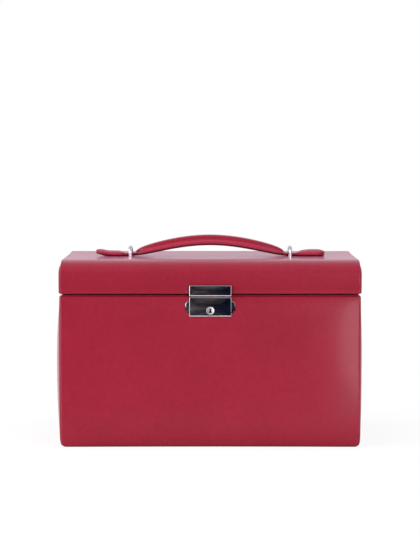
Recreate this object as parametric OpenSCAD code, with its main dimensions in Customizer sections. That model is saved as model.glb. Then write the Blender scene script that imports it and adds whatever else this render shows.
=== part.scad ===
// Leather jewellery case: a board body and a hinged lid under padded leather covers, a strap handle
// in two wire staples, a two-button front lock, and a tray inside that rises level with the lid.
// X runs to the right, Y to the back and Z up. The origin is the middle of the base.

/* [Case] */
// Width of the front panel, edge to edge
panel_w = 275; // [240:1:320]
// Depth of the board carcass, front face to back face
carcass_d = 172; // [165:1:200]
// Height of the body, from the floor to its rim
body_h = 140; // [135:1:180]
// Height of the lid, from its rim to the top of its cover
lid_h = 29.3; // [28:0.1:45]
// Open seam between the two rims
rim_gap = 1.2; // [1:0.1:2]
// Thickness of the boards
board_t = 5; // [4:0.5:6]

/* [Covers] */
// Thickness of a cover at its edge
cover_t = 2; // [1.5:0.1:2.5]
// Padding in the middle of the front cover
front_crown = 3.5; // [1:0.1:5]
// Padding in the middle of the back cover
back_crown = 2; // [1:0.1:4]
// Padding in the middle of a side cover of the body
side_crown = 5.5; // [2:0.1:8]
// Padding in the middle of a side cover of the lid
lid_side_crown = 4.5; // [2:0.1:7]
// Padding on top of the lid
lid_crown = 0.2; // [0.2:0.1:2.5]
// Radius of the roll along the front and back top edges of the lid
lid_roll = 9; // [7:0.5:12]
// Radius of the lower corners of the body covers
foot_roll = 6; // [3:0.5:9]
// Height of the covers' lower edge above the floor
foot_lift = 0.6; // [0.3:0.1:1.5]
// Thickness of the lining
lining_t = 1; // [0.6:0.1:1.5]

/* [Hinge] */
// Length of the hinge
hinge_len = 240; // [180:1:250]
// Diameter of the barrel
barrel_d = 4; // [3.5:0.1:5]
// Diameter of the pin
pin_d = 1.8; // [1.4:0.1:2.2]
// Thickness of a leaf
leaf_t = 0.8; // [0.6:0.1:1]
// Number of knuckles, shared by both leaves
knuckles = 15; // [9:2:19]

/* [Lock] */
// Width of the lock
lock_w = 38.3; // [34:0.1:46]
// Height of the lock housing
lock_h = 18.2; // [17:0.1:22]
// Drop of the housing's top below the rim of the body
lock_drop = 1.6; // [1.2:0.1:2.5]
// Height of the strike plate
strike_h = 9.8; // [8:0.1:12]
// Overhang of the strike plate below the rim of the lid
strike_overhang = 1.8; // [1.4:0.1:2]
// Wall of the housing
lock_wall = 1.2; // [1:0.1:1.5]
// Bevel on the front edges of both plates
lock_bevel = 0.8; // [0.4:0.1:1]
// Thickness of a release button
button_t = 1.8; // [1.4:0.1:2.2]
// Height of a release button outside the housing
button_h = 9.3; // [8:0.1:11]
// Reach of a release button beyond the housing
button_reach = 3.5; // [3:0.1:5]
// Travel of a release button
button_travel = 2; // [1:0.1:2.4]
// Distance of a tongue from the middle of the lock
tongue_x = 11.5; // [10.5:0.1:13]
// Width of a tongue
tongue_w = 4; // [3:0.1:5]
// Thickness of a tongue
tongue_t = 1.5; // [1.2:0.1:1.8]
// Length of a tongue below the strike plate
tongue_len = 10; // [6:0.5:12]
// Diameter of the key cylinder's head
key_head_d = 7.4; // [6.8:0.1:8.5]
// Height of the key cylinder above the lower edge of the housing
key_rise = 6.1; // [5.8:0.1:7]

/* [Handle] */
// Distance between the two staples
staple_span = 152; // [140:1:165]
// Wire of a staple
staple_wire = 3.7; // [3:0.1:4.2]
// Height of a staple above the lid
staple_h = 10.2; // [9.5:0.1:14]
// Thickness of the base strap
strap_t = 3.6; // [2.5:0.1:4]
// Width of the strap's neck inside a staple
neck_w = 13; // [10:0.5:16]
// Width of the strap's tongue ends
tab_w = 18; // [16:0.5:22]
// Length of the left tongue end beyond its staple
tab_left = 33; // [18:1:40]
// Length of the right tongue end beyond its staple
tab_right = 33; // [18:1:40]
// Width of the grip
grip_w = 21; // [18:0.5:26]
// Length of the padded grip
grip_len = 138; // [110:1:139]
// Height of the padded grip on the strap
grip_h = 6.6; // [4:0.1:9]
// Height of the arch under the strap
arch_h = 11.2; // [8:0.1:20]
// Leather over the grip
wrap_t = 1.2; // [0.8:0.1:1.5]

/* [Tray] */
// Radius of the lid's swing at the tray bracket
swing_r = 60; // [55:0.5:62]
// Angle of that radius below level when the lid is closed
swing_start = 30; // [28:0.5:32]
// Forward offset of the arm's pivot from the hinge
link_run = 18; // [18:0.5:20]
// Downward offset of the arm's pivot from the hinge
link_drop = 24; // [22:0.5:26]
// Height of the tray
tray_h = 46; // [44:1:50]
// Depth of the tray from front to back
tray_d = 134.5; // [120:0.5:140]
// Thickness of the tray's floor
tray_floor_t = 3; // [2:0.5:3.5]
// Thickness of the tray's walls
tray_wall_t = 5; // [4.5:0.5:6]
// Thickness of the links
link_t = 1.5; // [1:0.1:1.6]
// Thickness of the dividers
divider_t = 3; // [2:0.5:4]
// Height of the dividers in the tray
tray_divider_h = 32; // [20:1:38]
// Height of the dividers in the body
body_divider_h = 50; // [30:1:60]
// Number of ring rolls
ring_rolls_n = 8; // [5:1:10]
// Length of a ring roll
ring_roll_len = 98; // [80:1:120]

/* [Mirror] */
// Width of the mirror
mirror_w = 190; // [120:1:200]
// Depth of the mirror
mirror_d = 112; // [80:1:120]
// Thickness of the mirror
mirror_t = 3; // [2:0.5:4]
// Width of the mirror's frame
mirror_frame_w = 10; // [7:0.5:12]

/* [Hidden] */
$fn = 48;

// Clearances: running fits, loose play beside moving pieces, and face play of fixed pieces
run = 0.05;
play = 0.2;
loose = 0.4;

// Carcass and levels
carcass_w = panel_w - 2 * cover_t;
half_w = carcass_w / 2;
half_d = carcass_d / 2;
floor_z = cover_t + board_t;
lid_rim_z = body_h + rim_gap;
lid_top_z = lid_rim_z + lid_h;
lid_board_z = lid_top_z - cover_t - lid_crown;
lid_hollow_z = lid_board_z - board_t;
base_inset = foot_roll / 2;
room_x = half_w - board_t - lining_t;
room_y = half_d - board_t - lining_t;

// Hinge at the rear seam
barrel_r = barrel_d / 2;
axis_y = half_d + cover_t + barrel_r - loose;
axis_z = body_h + rim_gap / 2;
leaf_gap = play;
leaf_back = axis_y - barrel_r - loose;
leaf_front = half_d - board_t;
knuckle_len = hinge_len / knuckles;
back_top_z = axis_z - leaf_gap / 2 - leaf_t;
lid_back_z = axis_z + leaf_gap / 2 + leaf_t;
barrel_room = barrel_r + 3 * play;
screw_n = 6;
screw_r = 1;
screw_head_r = 1.8;
screw_head_h = 0.5;
screw_len = 10;
screw_y = half_d - board_t / 2;
screw_pitch = hinge_len / screw_n;

// Lock, in layers from the front board outwards
lock_back_y = -half_d;
lock_plate_y = lock_back_y - lock_wall;
tongue_y = lock_plate_y - play / 2;
tongue_swing = 3 * play;
button_y = tongue_y - tongue_t - tongue_swing;
lock_inner_y = button_y - button_t - play;
lock_face_y = lock_inner_y - lock_wall;
lock_top_z = body_h - lock_drop;
lock_low_z = lock_top_z - lock_h;
lock_in = lock_w / 2 - lock_wall;
strike_low_z = lid_rim_z - strike_overhang;
strike_top_z = strike_low_z + strike_h;
key_z = lock_low_z + key_rise;
key_r = 3;
key_tail_r = 1.5;
key_head_t = 0.8;
cam_r = key_rise - lock_wall - play;
cam_w = 3;
button_z = key_z + 3.1;
button_in = cam_r + loose;
button_body_h = button_h + 2.2;
spring_z = key_z + cam_r + 1.4;
spring_r = 0.8;
rivet_r = 1.3;
rivet_head_r = 2.4;
rivet_head_t = 0.6;
strike_rivet_x = 10;
lock_rivet_x = 14;
lock_rivet_z = lock_low_z + 4;

// Staples and handle
staple_x = staple_span / 2;
staple_y = neck_w / 2 + 0.7 + staple_wire / 2;
staple_bend = staple_wire / 2 + 1.6;
washer_r = 3.6;
washer_t = 0.8;
strap_rest = 0.3;
strap_low_z = lid_top_z + strap_rest;
grip_x = 2;
arch_half = staple_x - grip_x;
strap_x0 = -staple_x - tab_left;
strap_x1 = staple_x + tab_right;
strap_edge = 0.9;

// Tray linkage: the lid carries the tray at the lift pivot, the arms steady it at the level pivot
lift_y = axis_y - swing_r * cos(swing_start);
lift_z = axis_z - swing_r * sin(swing_start);
arm_y = axis_y - link_run;
arm_z = axis_z - link_drop;
level_y = lift_y - link_run;
level_z = lift_z - link_drop;
link_pin_r = 2;
link_eye_r = 4.5;
link_w = 7;
loop_play = 0.3;
bracket_x = room_x - loose - link_t;
arm_x = bracket_x - 0.7 - link_t;
pin_head_t = 0.9;
tray_x = arm_x - pin_head_t - 3.5 * loose;
tray_in_x = tray_x - tray_wall_t;
tray_low_z = level_z - 2 * link_pin_r - tray_floor_t + 0.4;
tray_wall_z = tray_low_z + tray_floor_t;
tray_top_z = tray_low_z + tray_h;
swing_forward = swing_r * (1 - cos(swing_start));
tray_front_y = -room_y + swing_forward + 1.5;
tray_back_y = tray_front_y + tray_d;
tray_in_front = tray_front_y + tray_wall_t;
tray_in_back = tray_back_y - tray_wall_t;
pin_depth = tray_wall_t - 1;
bracket_pad_z = lid_rim_z + 3;
bracket_top_z = lid_hollow_z - lining_t - 2;
bracket_y0 = lift_y - link_eye_r;
bracket_reach = 20;
bracket_rivet_in = 5;
bracket_y1 = lift_y + bracket_reach;
bracket_mid_z = (bracket_pad_z + bracket_top_z) / 2;
bracket_rivets_y = [bracket_y0 + bracket_rivet_in, bracket_y1 - bracket_rivet_in];

// Inside the tray and the body
rolls_x1 = -tray_in_x + ring_roll_len;
roll_r = (tray_in_back - tray_in_front) / ring_rolls_n / 2;
roll_axis_z = tray_wall_z + 22;
compartment_x0 = rolls_x1 + divider_t;
mirror_z = lid_hollow_z - lining_t - mirror_t;
mirror_lip = 3;

// Colours
leather_red = [0.63, 0.16, 0.24];
lining_ivory = [0.86, 0.80, 0.70];
board_tan = [0.72, 0.60, 0.45];
chrome = [0.75, 0.76, 0.78];
steel = [0.62, 0.63, 0.65];
foam_grey = [0.55, 0.54, 0.52];

// A box between two corners
module block(low, high) {
    translate(low) cube(high - low);
}

// A rod between two places along X, at one Y and Z
module rod_x(x0, x1, y, z, r) {
    translate([min(x0, x1), y, z]) rotate([0, 90, 0]) cylinder(h = abs(x1 - x0), r = r);
}

// A rod between two places along Y, at one X and Z
module rod_y(y0, y1, x, z, r) {
    translate([x, max(y0, y1), z]) rotate([90, 0, 0]) cylinder(h = abs(y1 - y0), r = r);
}

// A rod between two heights
module rod_z(z0, z1, x, y, r) {
    translate([x, y, z0]) cylinder(h = z1 - z0, r = r);
}

// Its children on the right, or mirrored to the left
module on_side(side) {
    if (side > 0) children();
    else mirror([1, 0, 0]) children();
}

// Its children on both sides
module both_sides() {
    for (side = [-1, 1]) on_side(side) children();
}

// Padded covers
// Distances of the grid lines from one edge: close together over each rounded end
function pad_lines(len, r0, r1, n) = concat(
    [0, 0.1 * r0, 0.35 * r0, r0],
    [for (i = [1 : n - 1]) r0 + (len - r0 - r1) * i / n],
    [len - r1, len - 0.35 * r1, len - 0.1 * r1, len]
);

// How far a rounded corner draws the outline in, at a distance from the edge
function corner_inset(d, r) = d >= r ? 0 : r - sqrt(r * r - (r - d) * (r - d));

// Rise of a rolled edge from 0 at the edge to 1
function edge_roll(d, r) = d >= r ? 1 : sqrt(1 - (1 - d / r) * (1 - d / r));

// Fullness of the padding across one direction, 0 at both edges and 1 over the middle
function fullness(d, len) = 1 - pow(abs(2 * d / len - 1), 4);

// Triangles of a grid of points with the given columns and rows, offset in the point list
function grid_faces(cols, rows, start, up) = [
    for (i = [0 : cols - 2], j = [0 : rows - 2], half = [0, 1])
        let (
            a = start + i * rows + j,
            b = a + rows,
            face = half == 0 ? [a, b, b + 1] : [a, b + 1, a + 1]
        )
        up ? [face[2], face[1], face[0]] : face
];

// Triangles of the rim between a lower and an upper ring of points
function rim_faces(ring, lift) = [
    for (k = [0 : len(ring) - 1], half = [0, 1])
        let (a = ring[k], b = ring[(k + 1) % len(ring)])
        half == 0 ? [b, a, a + lift] : [b, a + lift, b + lift]
];

// A padded cover on the XY plane: flat below, rolled at the edges and crowned above.
// It is as wide as w around X = 0, and as tall as h from Y = 0, with rounded lower and upper corners.
module pad(w, h, edge, crown, low_r, top_r, nx, ny) {
    xs = pad_lines(w, edge, edge, nx);
    ys = pad_lines(h, low_r, top_r, ny);
    cols = len(xs);
    rows = len(ys);
    count = cols * rows;
    plan = [
        for (x = xs, y = ys)
            let (inset = corner_inset(y, low_r) + corner_inset(h - y, top_r))
            [(x / w - 0.5) * (w - 2 * inset), y]
    ];
    rise = [
        for (x = xs, y = ys)
            let (d = min(x, w - x, y, h - y))
            edge * (0.3 + 0.7 * edge_roll(d, edge)) + crown * fullness(x, w) * fullness(y, h)
    ];
    flat_points = [for (p = plan) [p[0], p[1], 0]];
    full_points = [for (k = [0 : count - 1]) [plan[k][0], plan[k][1], rise[k]]];
    ring = concat(
        [for (i = [0 : cols - 2]) i * rows],
        [for (j = [0 : rows - 2]) (cols - 1) * rows + j],
        [for (i = [cols - 1 : -1 : 1]) i * rows + rows - 1],
        [for (j = [rows - 1 : -1 : 1]) j]
    );
    polyhedron(
        points = concat(flat_points, full_points),
        faces = concat(
            grid_faces(cols, rows, 0, false),
            grid_faces(cols, rows, count, true),
            rim_faces(ring, count)
        ),
        convexity = 4
    );
}

// Places of a pad: on the front, the back or a side of the carcass, with its lower edge at z
module on_front(z) {
    translate([0, -half_d, z]) rotate([90, 0, 0]) children();
}

module on_back(z) {
    translate([0, half_d, z]) rotate([90, 0, 180]) children();
}

module on_flank(side, z) {
    on_side(side) translate([half_w, 0, z]) rotate([90, 0, 90]) children();
}

// Body boards
module base_board() {
    color(board_tan) block([-half_w, -half_d, cover_t], [half_w, half_d, floor_z]);
}

module front_board() {
    color(board_tan) difference() {
        block([-half_w, -half_d, floor_z], [half_w, -half_d + board_t, body_h]);
        both_sides() rod_y(-half_d - 1, -half_d + board_t + 1, lock_rivet_x, lock_rivet_z, rivet_r);
    }
}

module back_board() {
    color(board_tan) difference() {
        block([-half_w, half_d - board_t, floor_z], [half_w, half_d, back_top_z]);
        hinge_holes(back_top_z - screw_len, back_top_z + 1);
    }
}

module flank_board() {
    difference() {
        block([half_w - board_t, -half_d + board_t, floor_z], [half_w, half_d - board_t, body_h]);
        rod_x(half_w - board_t - 1, half_w + 1, arm_y, arm_z, link_pin_r);
    }
}

module left_board() {
    color(board_tan) on_side(-1) flank_board();
}

module right_board() {
    color(board_tan) on_side(1) flank_board();
}

// Body covers
module front_cover() {
    window_w = lock_w / 2 + play;
    ear_w = lock_w / 2 + button_reach + play;
    color(leather_red) difference() {
        on_front(foot_lift)
            pad(panel_w, body_h - foot_lift, cover_t, front_crown, foot_roll, cover_t, 9, 7);
        block(
            [-window_w, -half_d - 3 * cover_t - front_crown, lock_low_z - play],
            [window_w, -half_d + 1, body_h + 1]
        );
        block(
            [-ear_w, -half_d - 3 * cover_t - front_crown, button_z - button_h / 2 - play],
            [ear_w, button_y + play, button_z + button_h / 2 + play]
        );
    }
}

module back_cover() {
    top = axis_z - barrel_room;
    color(leather_red) on_back(foot_lift)
        pad(panel_w, top - foot_lift, cover_t, back_crown, foot_roll, cover_t, 8, 6);
}

module flank_cover(side) {
    color(leather_red) on_flank(side, foot_lift)
        pad(carcass_d, body_h - foot_lift, cover_t, side_crown, foot_roll, cover_t, 8, 7);
}

module left_cover() {
    flank_cover(-1);
}

module right_cover() {
    flank_cover(1);
}

module base_cover() {
    wide = half_w - base_inset;
    deep = half_d - base_inset;
    color(leather_red) block([-wide, -deep, 0], [wide, deep, cover_t]);
}

// Body lining: an open box against the boards
module body_lining() {
    wide = room_x + lining_t;
    deep = room_y + lining_t;
    color(lining_ivory) difference() {
        block([-wide, -deep, floor_z], [wide, deep, back_top_z - lining_t]);
        block([-room_x, -room_y, floor_z + lining_t], [room_x, room_y, body_h + 1]);
        both_sides() rod_x(room_x - 1, wide + 1, arm_y, arm_z, link_pin_r);
        both_sides()
            rod_y(-deep - 1, -room_y + 1, lock_rivet_x, lock_rivet_z, rivet_head_r + play);
    }
}

// Dividers on the bottom of the body: one long board and two short ones
module bottom_dividers() {
    low = floor_z + lining_t;
    high = low + body_divider_h;
    bay_w = 2 * room_x / 3;
    color(lining_ivory) union() {
        block([-room_x, -divider_t / 2, low], [room_x, divider_t / 2, high]);
        both_sides() block(
            [(bay_w - divider_t) / 2, -room_y, low],
            [(bay_w + divider_t) / 2, room_y, high]
        );
    }
}

// Hinge
// Middle of a screw along the hinge, by its number
function screw_x(i) = (i - (screw_n - 1) / 2) * screw_pitch;

module hinge_holes(z0, z1) {
    for (i = [0 : screw_n - 1]) rod_z(z0, z1, screw_x(i), screw_y, screw_r);
}

// Knuckles of one leaf, each with the tab that joins it to the leaf. turn = 1 is the lid's leaf
module leaf(turn) {
    z0 = turn > 0 ? axis_z + leaf_gap / 2 : back_top_z;
    difference() {
        union() {
            block([-hinge_len / 2, leaf_front, z0], [hinge_len / 2, leaf_back, z0 + leaf_t]);
            for (k = [turn > 0 ? 1 : 0 : 2 : knuckles - 1]) {
                x0 = -hinge_len / 2 + k * knuckle_len + play / 2;
                x1 = x0 + knuckle_len - play;
                block([x0, leaf_back - 1, z0], [x1, axis_y, z0 + leaf_t]);
                rod_x(x0, x1, axis_y, axis_z, barrel_r);
            }
        }
        rod_x(-hinge_len / 2 - 1, hinge_len / 2 + 1, axis_y, axis_z, pin_d / 2 + run);
        hinge_holes(z0 - 1, z0 + leaf_t + 1);
        for (i = [0 : screw_n - 1])
            rod_z(
                turn > 0 ? z0 - 1 : z0 + leaf_t - screw_head_h,
                turn > 0 ? z0 + screw_head_h : z0 + leaf_t + 1,
                screw_x(i), screw_y, screw_head_r
            );
    }
}

module hinge_leaf_body() {
    color(steel) leaf(-1);
}

module hinge_leaf_lid() {
    color(steel) leaf(1);
}

module hinge_pin() {
    color(steel) rod_x(-hinge_len / 2, hinge_len / 2, axis_y, axis_z, pin_d / 2);
}

module hinge_screws_body() {
    top = axis_z - leaf_gap / 2;
    color(steel) for (i = [0 : screw_n - 1]) {
        rod_z(top - screw_head_h, top, screw_x(i), screw_y, screw_head_r);
        rod_z(back_top_z - screw_len, top - screw_head_h, screw_x(i), screw_y, screw_r);
    }
}

module hinge_screws_lid() {
    low = axis_z + leaf_gap / 2;
    color(steel) for (i = [0 : screw_n - 1]) {
        rod_z(low, low + screw_head_h, screw_x(i), screw_y, screw_head_r);
        rod_z(low + screw_head_h, lid_back_z + screw_len, screw_x(i), screw_y, screw_r);
    }
}

// Lock
// A plate that faces the front, with its four front edges bevelled
module bevelled_plate(low, high, bevel) {
    mid = (low + high) / 2;
    size = high - low;
    side = bevel * sqrt(2);
    difference() {
        block(low, high);
        for (x = [low[0], high[0]])
            translate([x, low[1], mid[2]]) rotate([0, 0, 45])
                cube([side, side, size[2] + 1], center = true);
        for (z = [low[2], high[2]])
            translate([mid[0], low[1], z]) rotate([45, 0, 0])
                cube([size[0] + 1, side, side], center = true);
    }
}

module lock_back_plate() {
    color(chrome) difference() {
        block([-lock_in, lock_plate_y, lock_low_z + lock_wall], [lock_in, lock_back_y, lock_top_z]);
        rod_y(lock_plate_y - 1, lock_back_y + 1, 0, key_z, key_tail_r + run);
        both_sides() rod_y(lock_plate_y - 1, lock_back_y + 1, lock_rivet_x, lock_rivet_z, rivet_r);
    }
}

module lock_housing() {
    slot_w = tongue_w / 2 + play;
    color(chrome) difference() {
        bevelled_plate(
            [-lock_w / 2, lock_face_y, lock_low_z],
            [lock_w / 2, lock_back_y, lock_top_z],
            lock_bevel
        );
        block(
            [-lock_in, lock_inner_y, lock_low_z + lock_wall],
            [lock_in, lock_back_y + 1, lock_top_z - lock_wall]
        );
        block(
            [-lock_in, lock_plate_y, lock_top_z - lock_wall - 1],
            [lock_in, lock_back_y + 1, lock_top_z + 1]
        );
        rod_y(lock_face_y - 1, lock_inner_y + 1, 0, key_z, key_r + run);
        both_sides() {
            block(
                [tongue_x - slot_w, tongue_y - tongue_t - tongue_swing, lock_top_z - lock_wall - 1],
                [tongue_x + slot_w, lock_plate_y + 1, lock_top_z + 1]
            );
            block(
                [lock_in - 1, button_y - button_t - play, button_z - button_h / 2 - play],
                [lock_w / 2 + 1, button_y + play, button_z + button_h / 2 + play]
            );
        }
    }
}

module lock_rivets() {
    inner = -half_d + board_t;
    color(steel) both_sides() {
        rod_y(lock_plate_y, inner, lock_rivet_x, lock_rivet_z, rivet_r);
        rod_y(inner, inner + rivet_head_t, lock_rivet_x, lock_rivet_z, rivet_head_r);
    }
}

// Short springs above the key cylinder, drawn at their pressed length
module button_springs() {
    y = button_y - button_t / 2;
    half = button_in - button_travel - play;
    color(steel) {
        rod_x(-half, half, y, spring_z, spring_r);
        block(
            [-0.6, lock_inner_y, spring_z - spring_r],
            [0.6, y, spring_z + spring_r]
        );
    }
}

// A release button: a slider with a taller body inside and a half-round ear outside
module release_button(side) {
    shoulder = lock_in - play;
    ear_r = (pow(button_h / 2, 2) + pow(button_reach, 2)) / (2 * button_reach);
    ear_x = lock_w / 2 + button_reach - ear_r;
    catch_x = tongue_x - tongue_w / 2 - play;
    on_side(side) color(chrome) union() {
        translate([0, button_y, button_z]) rotate([90, 0, 0]) linear_extrude(button_t) union() {
            translate([button_in, -button_body_h / 2]) square([shoulder - button_in, button_body_h]);
            translate([button_in, -button_h / 2]) square([lock_w / 2 - button_in, button_h]);
            intersection() {
                translate([ear_x, 0]) circle(ear_r);
                translate([shoulder - 1, -button_h / 2]) square([lock_w, button_h]);
            }
        }
        block([catch_x - 2, button_y - 1, button_z + 1], [catch_x, tongue_y, button_z + 3]);
    }
}

module button_left() {
    release_button(-1);
}

module button_right() {
    release_button(1);
}

// The key cylinder: head, shaft with a key slot, and a tail in the back plate
module lock_plug() {
    face = lock_face_y - key_head_t;
    slot_w = 1.2;
    color(chrome) difference() {
        union() {
            rod_y(face, lock_face_y - play / 4, 0, key_z, key_head_d / 2);
            rod_y(face, lock_inner_y + play, 0, key_z, key_r);
            rod_y(face, button_y + play, 0, key_z, key_r - 1);
            rod_y(button_y, lock_back_y - play, 0, key_z, key_tail_r);
        }
        rod_y(face - 1, lock_inner_y, 0, key_z + 0.7, slot_w);
        block(
            [-slot_w / 2, face - 1, key_z - key_r + 0.8],
            [slot_w / 2, lock_inner_y, key_z]
        );
    }
}

module plug_cam() {
    color(steel) difference() {
        intersection() {
            rod_y(button_y - button_t, button_y, 0, key_z, cam_r);
            block(
                [-cam_w, button_y - button_t, key_z - cam_r],
                [cam_w, button_y, key_z + cam_r]
            );
        }
        rod_y(button_y - button_t - 1, button_y + 1, 0, key_z, key_r - 1);
    }
}

// Lid boards
// Points of an arc in the plane, from one angle to another
function arc(cx, cy, r, a0, a1, n) = [
    for (i = [0 : n]) let (a = a0 + (a1 - a0) * i / n) [cx + r * cos(a), cy + r * sin(a)]
];

// The two rounded top edges of the lid's top board, from the back edge over to the front edge
function top_board_arcs() = concat(
    arc(half_d - board_t, lid_hollow_z, board_t, 0, 90, 6),
    arc(-half_d + board_t, lid_hollow_z, board_t, 90, 180, 6)
);

module lid_top_board() {
    color(board_tan) difference() {
        plate_x(-half_w, carcass_w) polygon(top_board_arcs());
        staple_holes(lid_hollow_z - 1, lid_board_z + 1);
    }
}

module lid_front_board() {
    color(board_tan) difference() {
        block([-half_w, -half_d, lid_rim_z], [half_w, -half_d + board_t, lid_hollow_z]);
        both_sides()
            rod_y(-half_d - 1, -half_d + board_t + 1, strike_rivet_x, strike_rivet_z(), rivet_r);
    }
}

module lid_back_board() {
    color(board_tan) difference() {
        block([-half_w, half_d - board_t, lid_back_z], [half_w, half_d, lid_hollow_z]);
        hinge_holes(lid_back_z - 1, lid_back_z + screw_len);
    }
}

module lid_flank_board() {
    difference() {
        block([half_w - board_t, -half_d + board_t, lid_rim_z], [half_w, half_d - board_t, lid_hollow_z]);
        for (y = bracket_rivets_y) rod_x(half_w - board_t - 1, half_w + 1, y, bracket_mid_z, rivet_r);
    }
}

module lid_left_board() {
    color(board_tan) on_side(-1) lid_flank_board();
}

module lid_right_board() {
    color(board_tan) on_side(1) lid_flank_board();
}

// Lid covers
// Outline of the wrap across the lid: up the front, over the rolls and the crowned top, down the back
module wrap_outline() {
    out_d = half_d + cover_t;
    shoulder_z = lid_top_z - lid_crown - lid_roll;
    flat_d = out_d - lid_roll;
    edge_r = cover_t / 2;
    back_z = axis_z + barrel_room;
    polygon(concat(
        arc(-half_d - edge_r, lid_rim_z + edge_r, edge_r, 270, 180, 4),
        arc(-flat_d, shoulder_z, lid_roll, 180, 90, 8),
        [
            for (i = [1 : 11])
                let (t = i / 6 - 1)
                [t * flat_d, lid_top_z - lid_crown * t * t]
        ],
        arc(flat_d, shoulder_z, lid_roll, 90, 0, 8),
        arc(half_d + edge_r, back_z + edge_r, edge_r, 360, 270, 4),
        [[half_d, back_z]],
        top_board_arcs(),
        [[-half_d, lid_rim_z]]
    ));
}

module lid_wrap_cover() {
    window_w = lock_w / 2 + play;
    color(leather_red) difference() {
        translate([-panel_w / 2, 0, 0]) rotate([90, 0, 90]) linear_extrude(panel_w) wrap_outline();
        block(
            [-window_w, -half_d - 2 * cover_t, lid_rim_z - 1],
            [window_w, -half_d + 0.01, strike_top_z + play]
        );
        staple_holes(lid_hollow_z, lid_top_z + 1);
    }
}

module lid_flank_cover(side) {
    color(leather_red) on_flank(side, lid_rim_z)
        pad(carcass_d, lid_board_z - lid_rim_z, cover_t, lid_side_crown, cover_t, board_t, 8, 4);
}

module lid_left_cover() {
    lid_flank_cover(-1);
}

module lid_right_cover() {
    lid_flank_cover(1);
}

module lid_lining() {
    wide = room_x + lining_t;
    deep = room_y + lining_t;
    color(lining_ivory) difference() {
        block([-wide, -deep, lid_back_z + lining_t], [wide, deep, lid_hollow_z]);
        block([-room_x, -room_y, lid_rim_z - 1], [room_x, room_y, lid_hollow_z - lining_t]);
        for (x = [-staple_x, staple_x], y = [-staple_y, staple_y])
            rod_z(lid_hollow_z - lining_t - 1, lid_hollow_z + 1, x, y, washer_r + play);
        both_sides() for (y = bracket_rivets_y)
            rod_x(room_x - 1, wide + 1, y, bracket_mid_z, rivet_r);
        both_sides()
            rod_y(-deep - 1, -room_y + 1, strike_rivet_x, strike_rivet_z(), rivet_head_r + play);
    }
}

module mirror_glass() {
    block([-mirror_w / 2, -mirror_d / 2, mirror_z], [mirror_w / 2, mirror_d / 2, mirror_z + mirror_t]);
}

module lid_mirror() {
    color([0.8, 0.85, 0.88]) mirror_glass();
}

module mirror_frame() {
    out_x = mirror_w / 2 + mirror_frame_w - mirror_lip;
    out_y = mirror_d / 2 + mirror_frame_w - mirror_lip;
    in_x = mirror_w / 2 - mirror_lip;
    in_y = mirror_d / 2 - mirror_lip;
    color(lining_ivory) difference() {
        block([-out_x, -out_y, mirror_z - 1.5], [out_x, out_y, mirror_z + mirror_t]);
        block([-in_x, -in_y, mirror_z - 2.5], [in_x, in_y, mirror_z + 1]);
        mirror_glass();
    }
}

// Strike plate on the lid, with two tongues that drop into the housing
function strike_rivet_z() = strike_top_z - 4;

module strike_plate() {
    lip_y = -half_d - 3 * play;
    inner = lip_y + 1;
    color(chrome) union() {
        difference() {
            bevelled_plate(
                [-lock_w / 2, lock_face_y, strike_low_z],
                [lock_w / 2, -half_d, strike_top_z],
                lock_bevel
            );
            block([-lock_w, lip_y, strike_low_z - 1], [lock_w, inner, lid_rim_z]);
            both_sides() rod_y(-half_d - 3, -half_d + 1, strike_rivet_x, strike_rivet_z(), rivet_r);
        }
        both_sides() difference() {
            block(
                [tongue_x - tongue_w / 2, tongue_y - tongue_t, strike_low_z - tongue_len],
                [tongue_x + tongue_w / 2, tongue_y, strike_low_z + 1]
            );
            block(
                [tongue_x - tongue_w, tongue_y - tongue_t - 1, button_z + 1 - play],
                [tongue_x - tongue_w / 4, tongue_y + 1, button_z + 3 + play]
            );
        }
    }
}

module strike_rivets() {
    inner = -half_d + board_t;
    color(steel) both_sides() {
        rod_y(-half_d - 3, inner, strike_rivet_x, strike_rivet_z(), rivet_r);
        rod_y(inner, inner + rivet_head_t, strike_rivet_x, strike_rivet_z(), rivet_head_r);
    }
}

// Staples: round wire bent over the strap, with both legs through the lid
module staple_holes(z0, z1) {
    for (x = [-staple_x, staple_x], y = [-staple_y, staple_y]) rod_z(z0, z1, x, y, staple_wire / 2);
}

module staple(x) {
    r = staple_wire / 2;
    top_z = lid_top_z + staple_h - r;
    bend_z = top_z - staple_bend;
    bend_y = staple_y - staple_bend;
    color(chrome) translate([x, 0, 0]) union() {
        rod_y(-bend_y, bend_y, 0, top_z, r);
        for (turn = [0, 180]) rotate([0, 0, turn]) {
            rod_z(lid_hollow_z - lining_t, bend_z, 0, staple_y, r);
            translate([0, bend_y, bend_z]) rotate([90, 0, 90]) rotate_extrude(angle = 90)
                translate([staple_bend, 0]) circle(r);
        }
    }
}

module staple_left() {
    staple(-staple_x);
}

module staple_right() {
    staple(staple_x);
}

module staple_washers() {
    color(steel) for (x = [-staple_x, staple_x], y = [-staple_y, staple_y]) difference() {
        rod_z(lid_hollow_z - washer_t, lid_hollow_z, x, y, washer_r);
        rod_z(lid_hollow_z - washer_t - 1, lid_hollow_z + 1, x, y, staple_wire / 2);
    }
}

// Handle
// Height of the strap's underside at x: flat at both ends and arched between the staples
function strap_under(x) =
    let (d = abs(x - grip_x) / arch_half)
    strap_low_z + (d >= 1 ? 0 : arch_h * pow(cos(90 * d), 1.4));

// A smooth step from 0 to 1
function smooth(t) = t <= 0 ? 0 : t >= 1 ? 1 : t * t * (3 - 2 * t);

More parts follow.
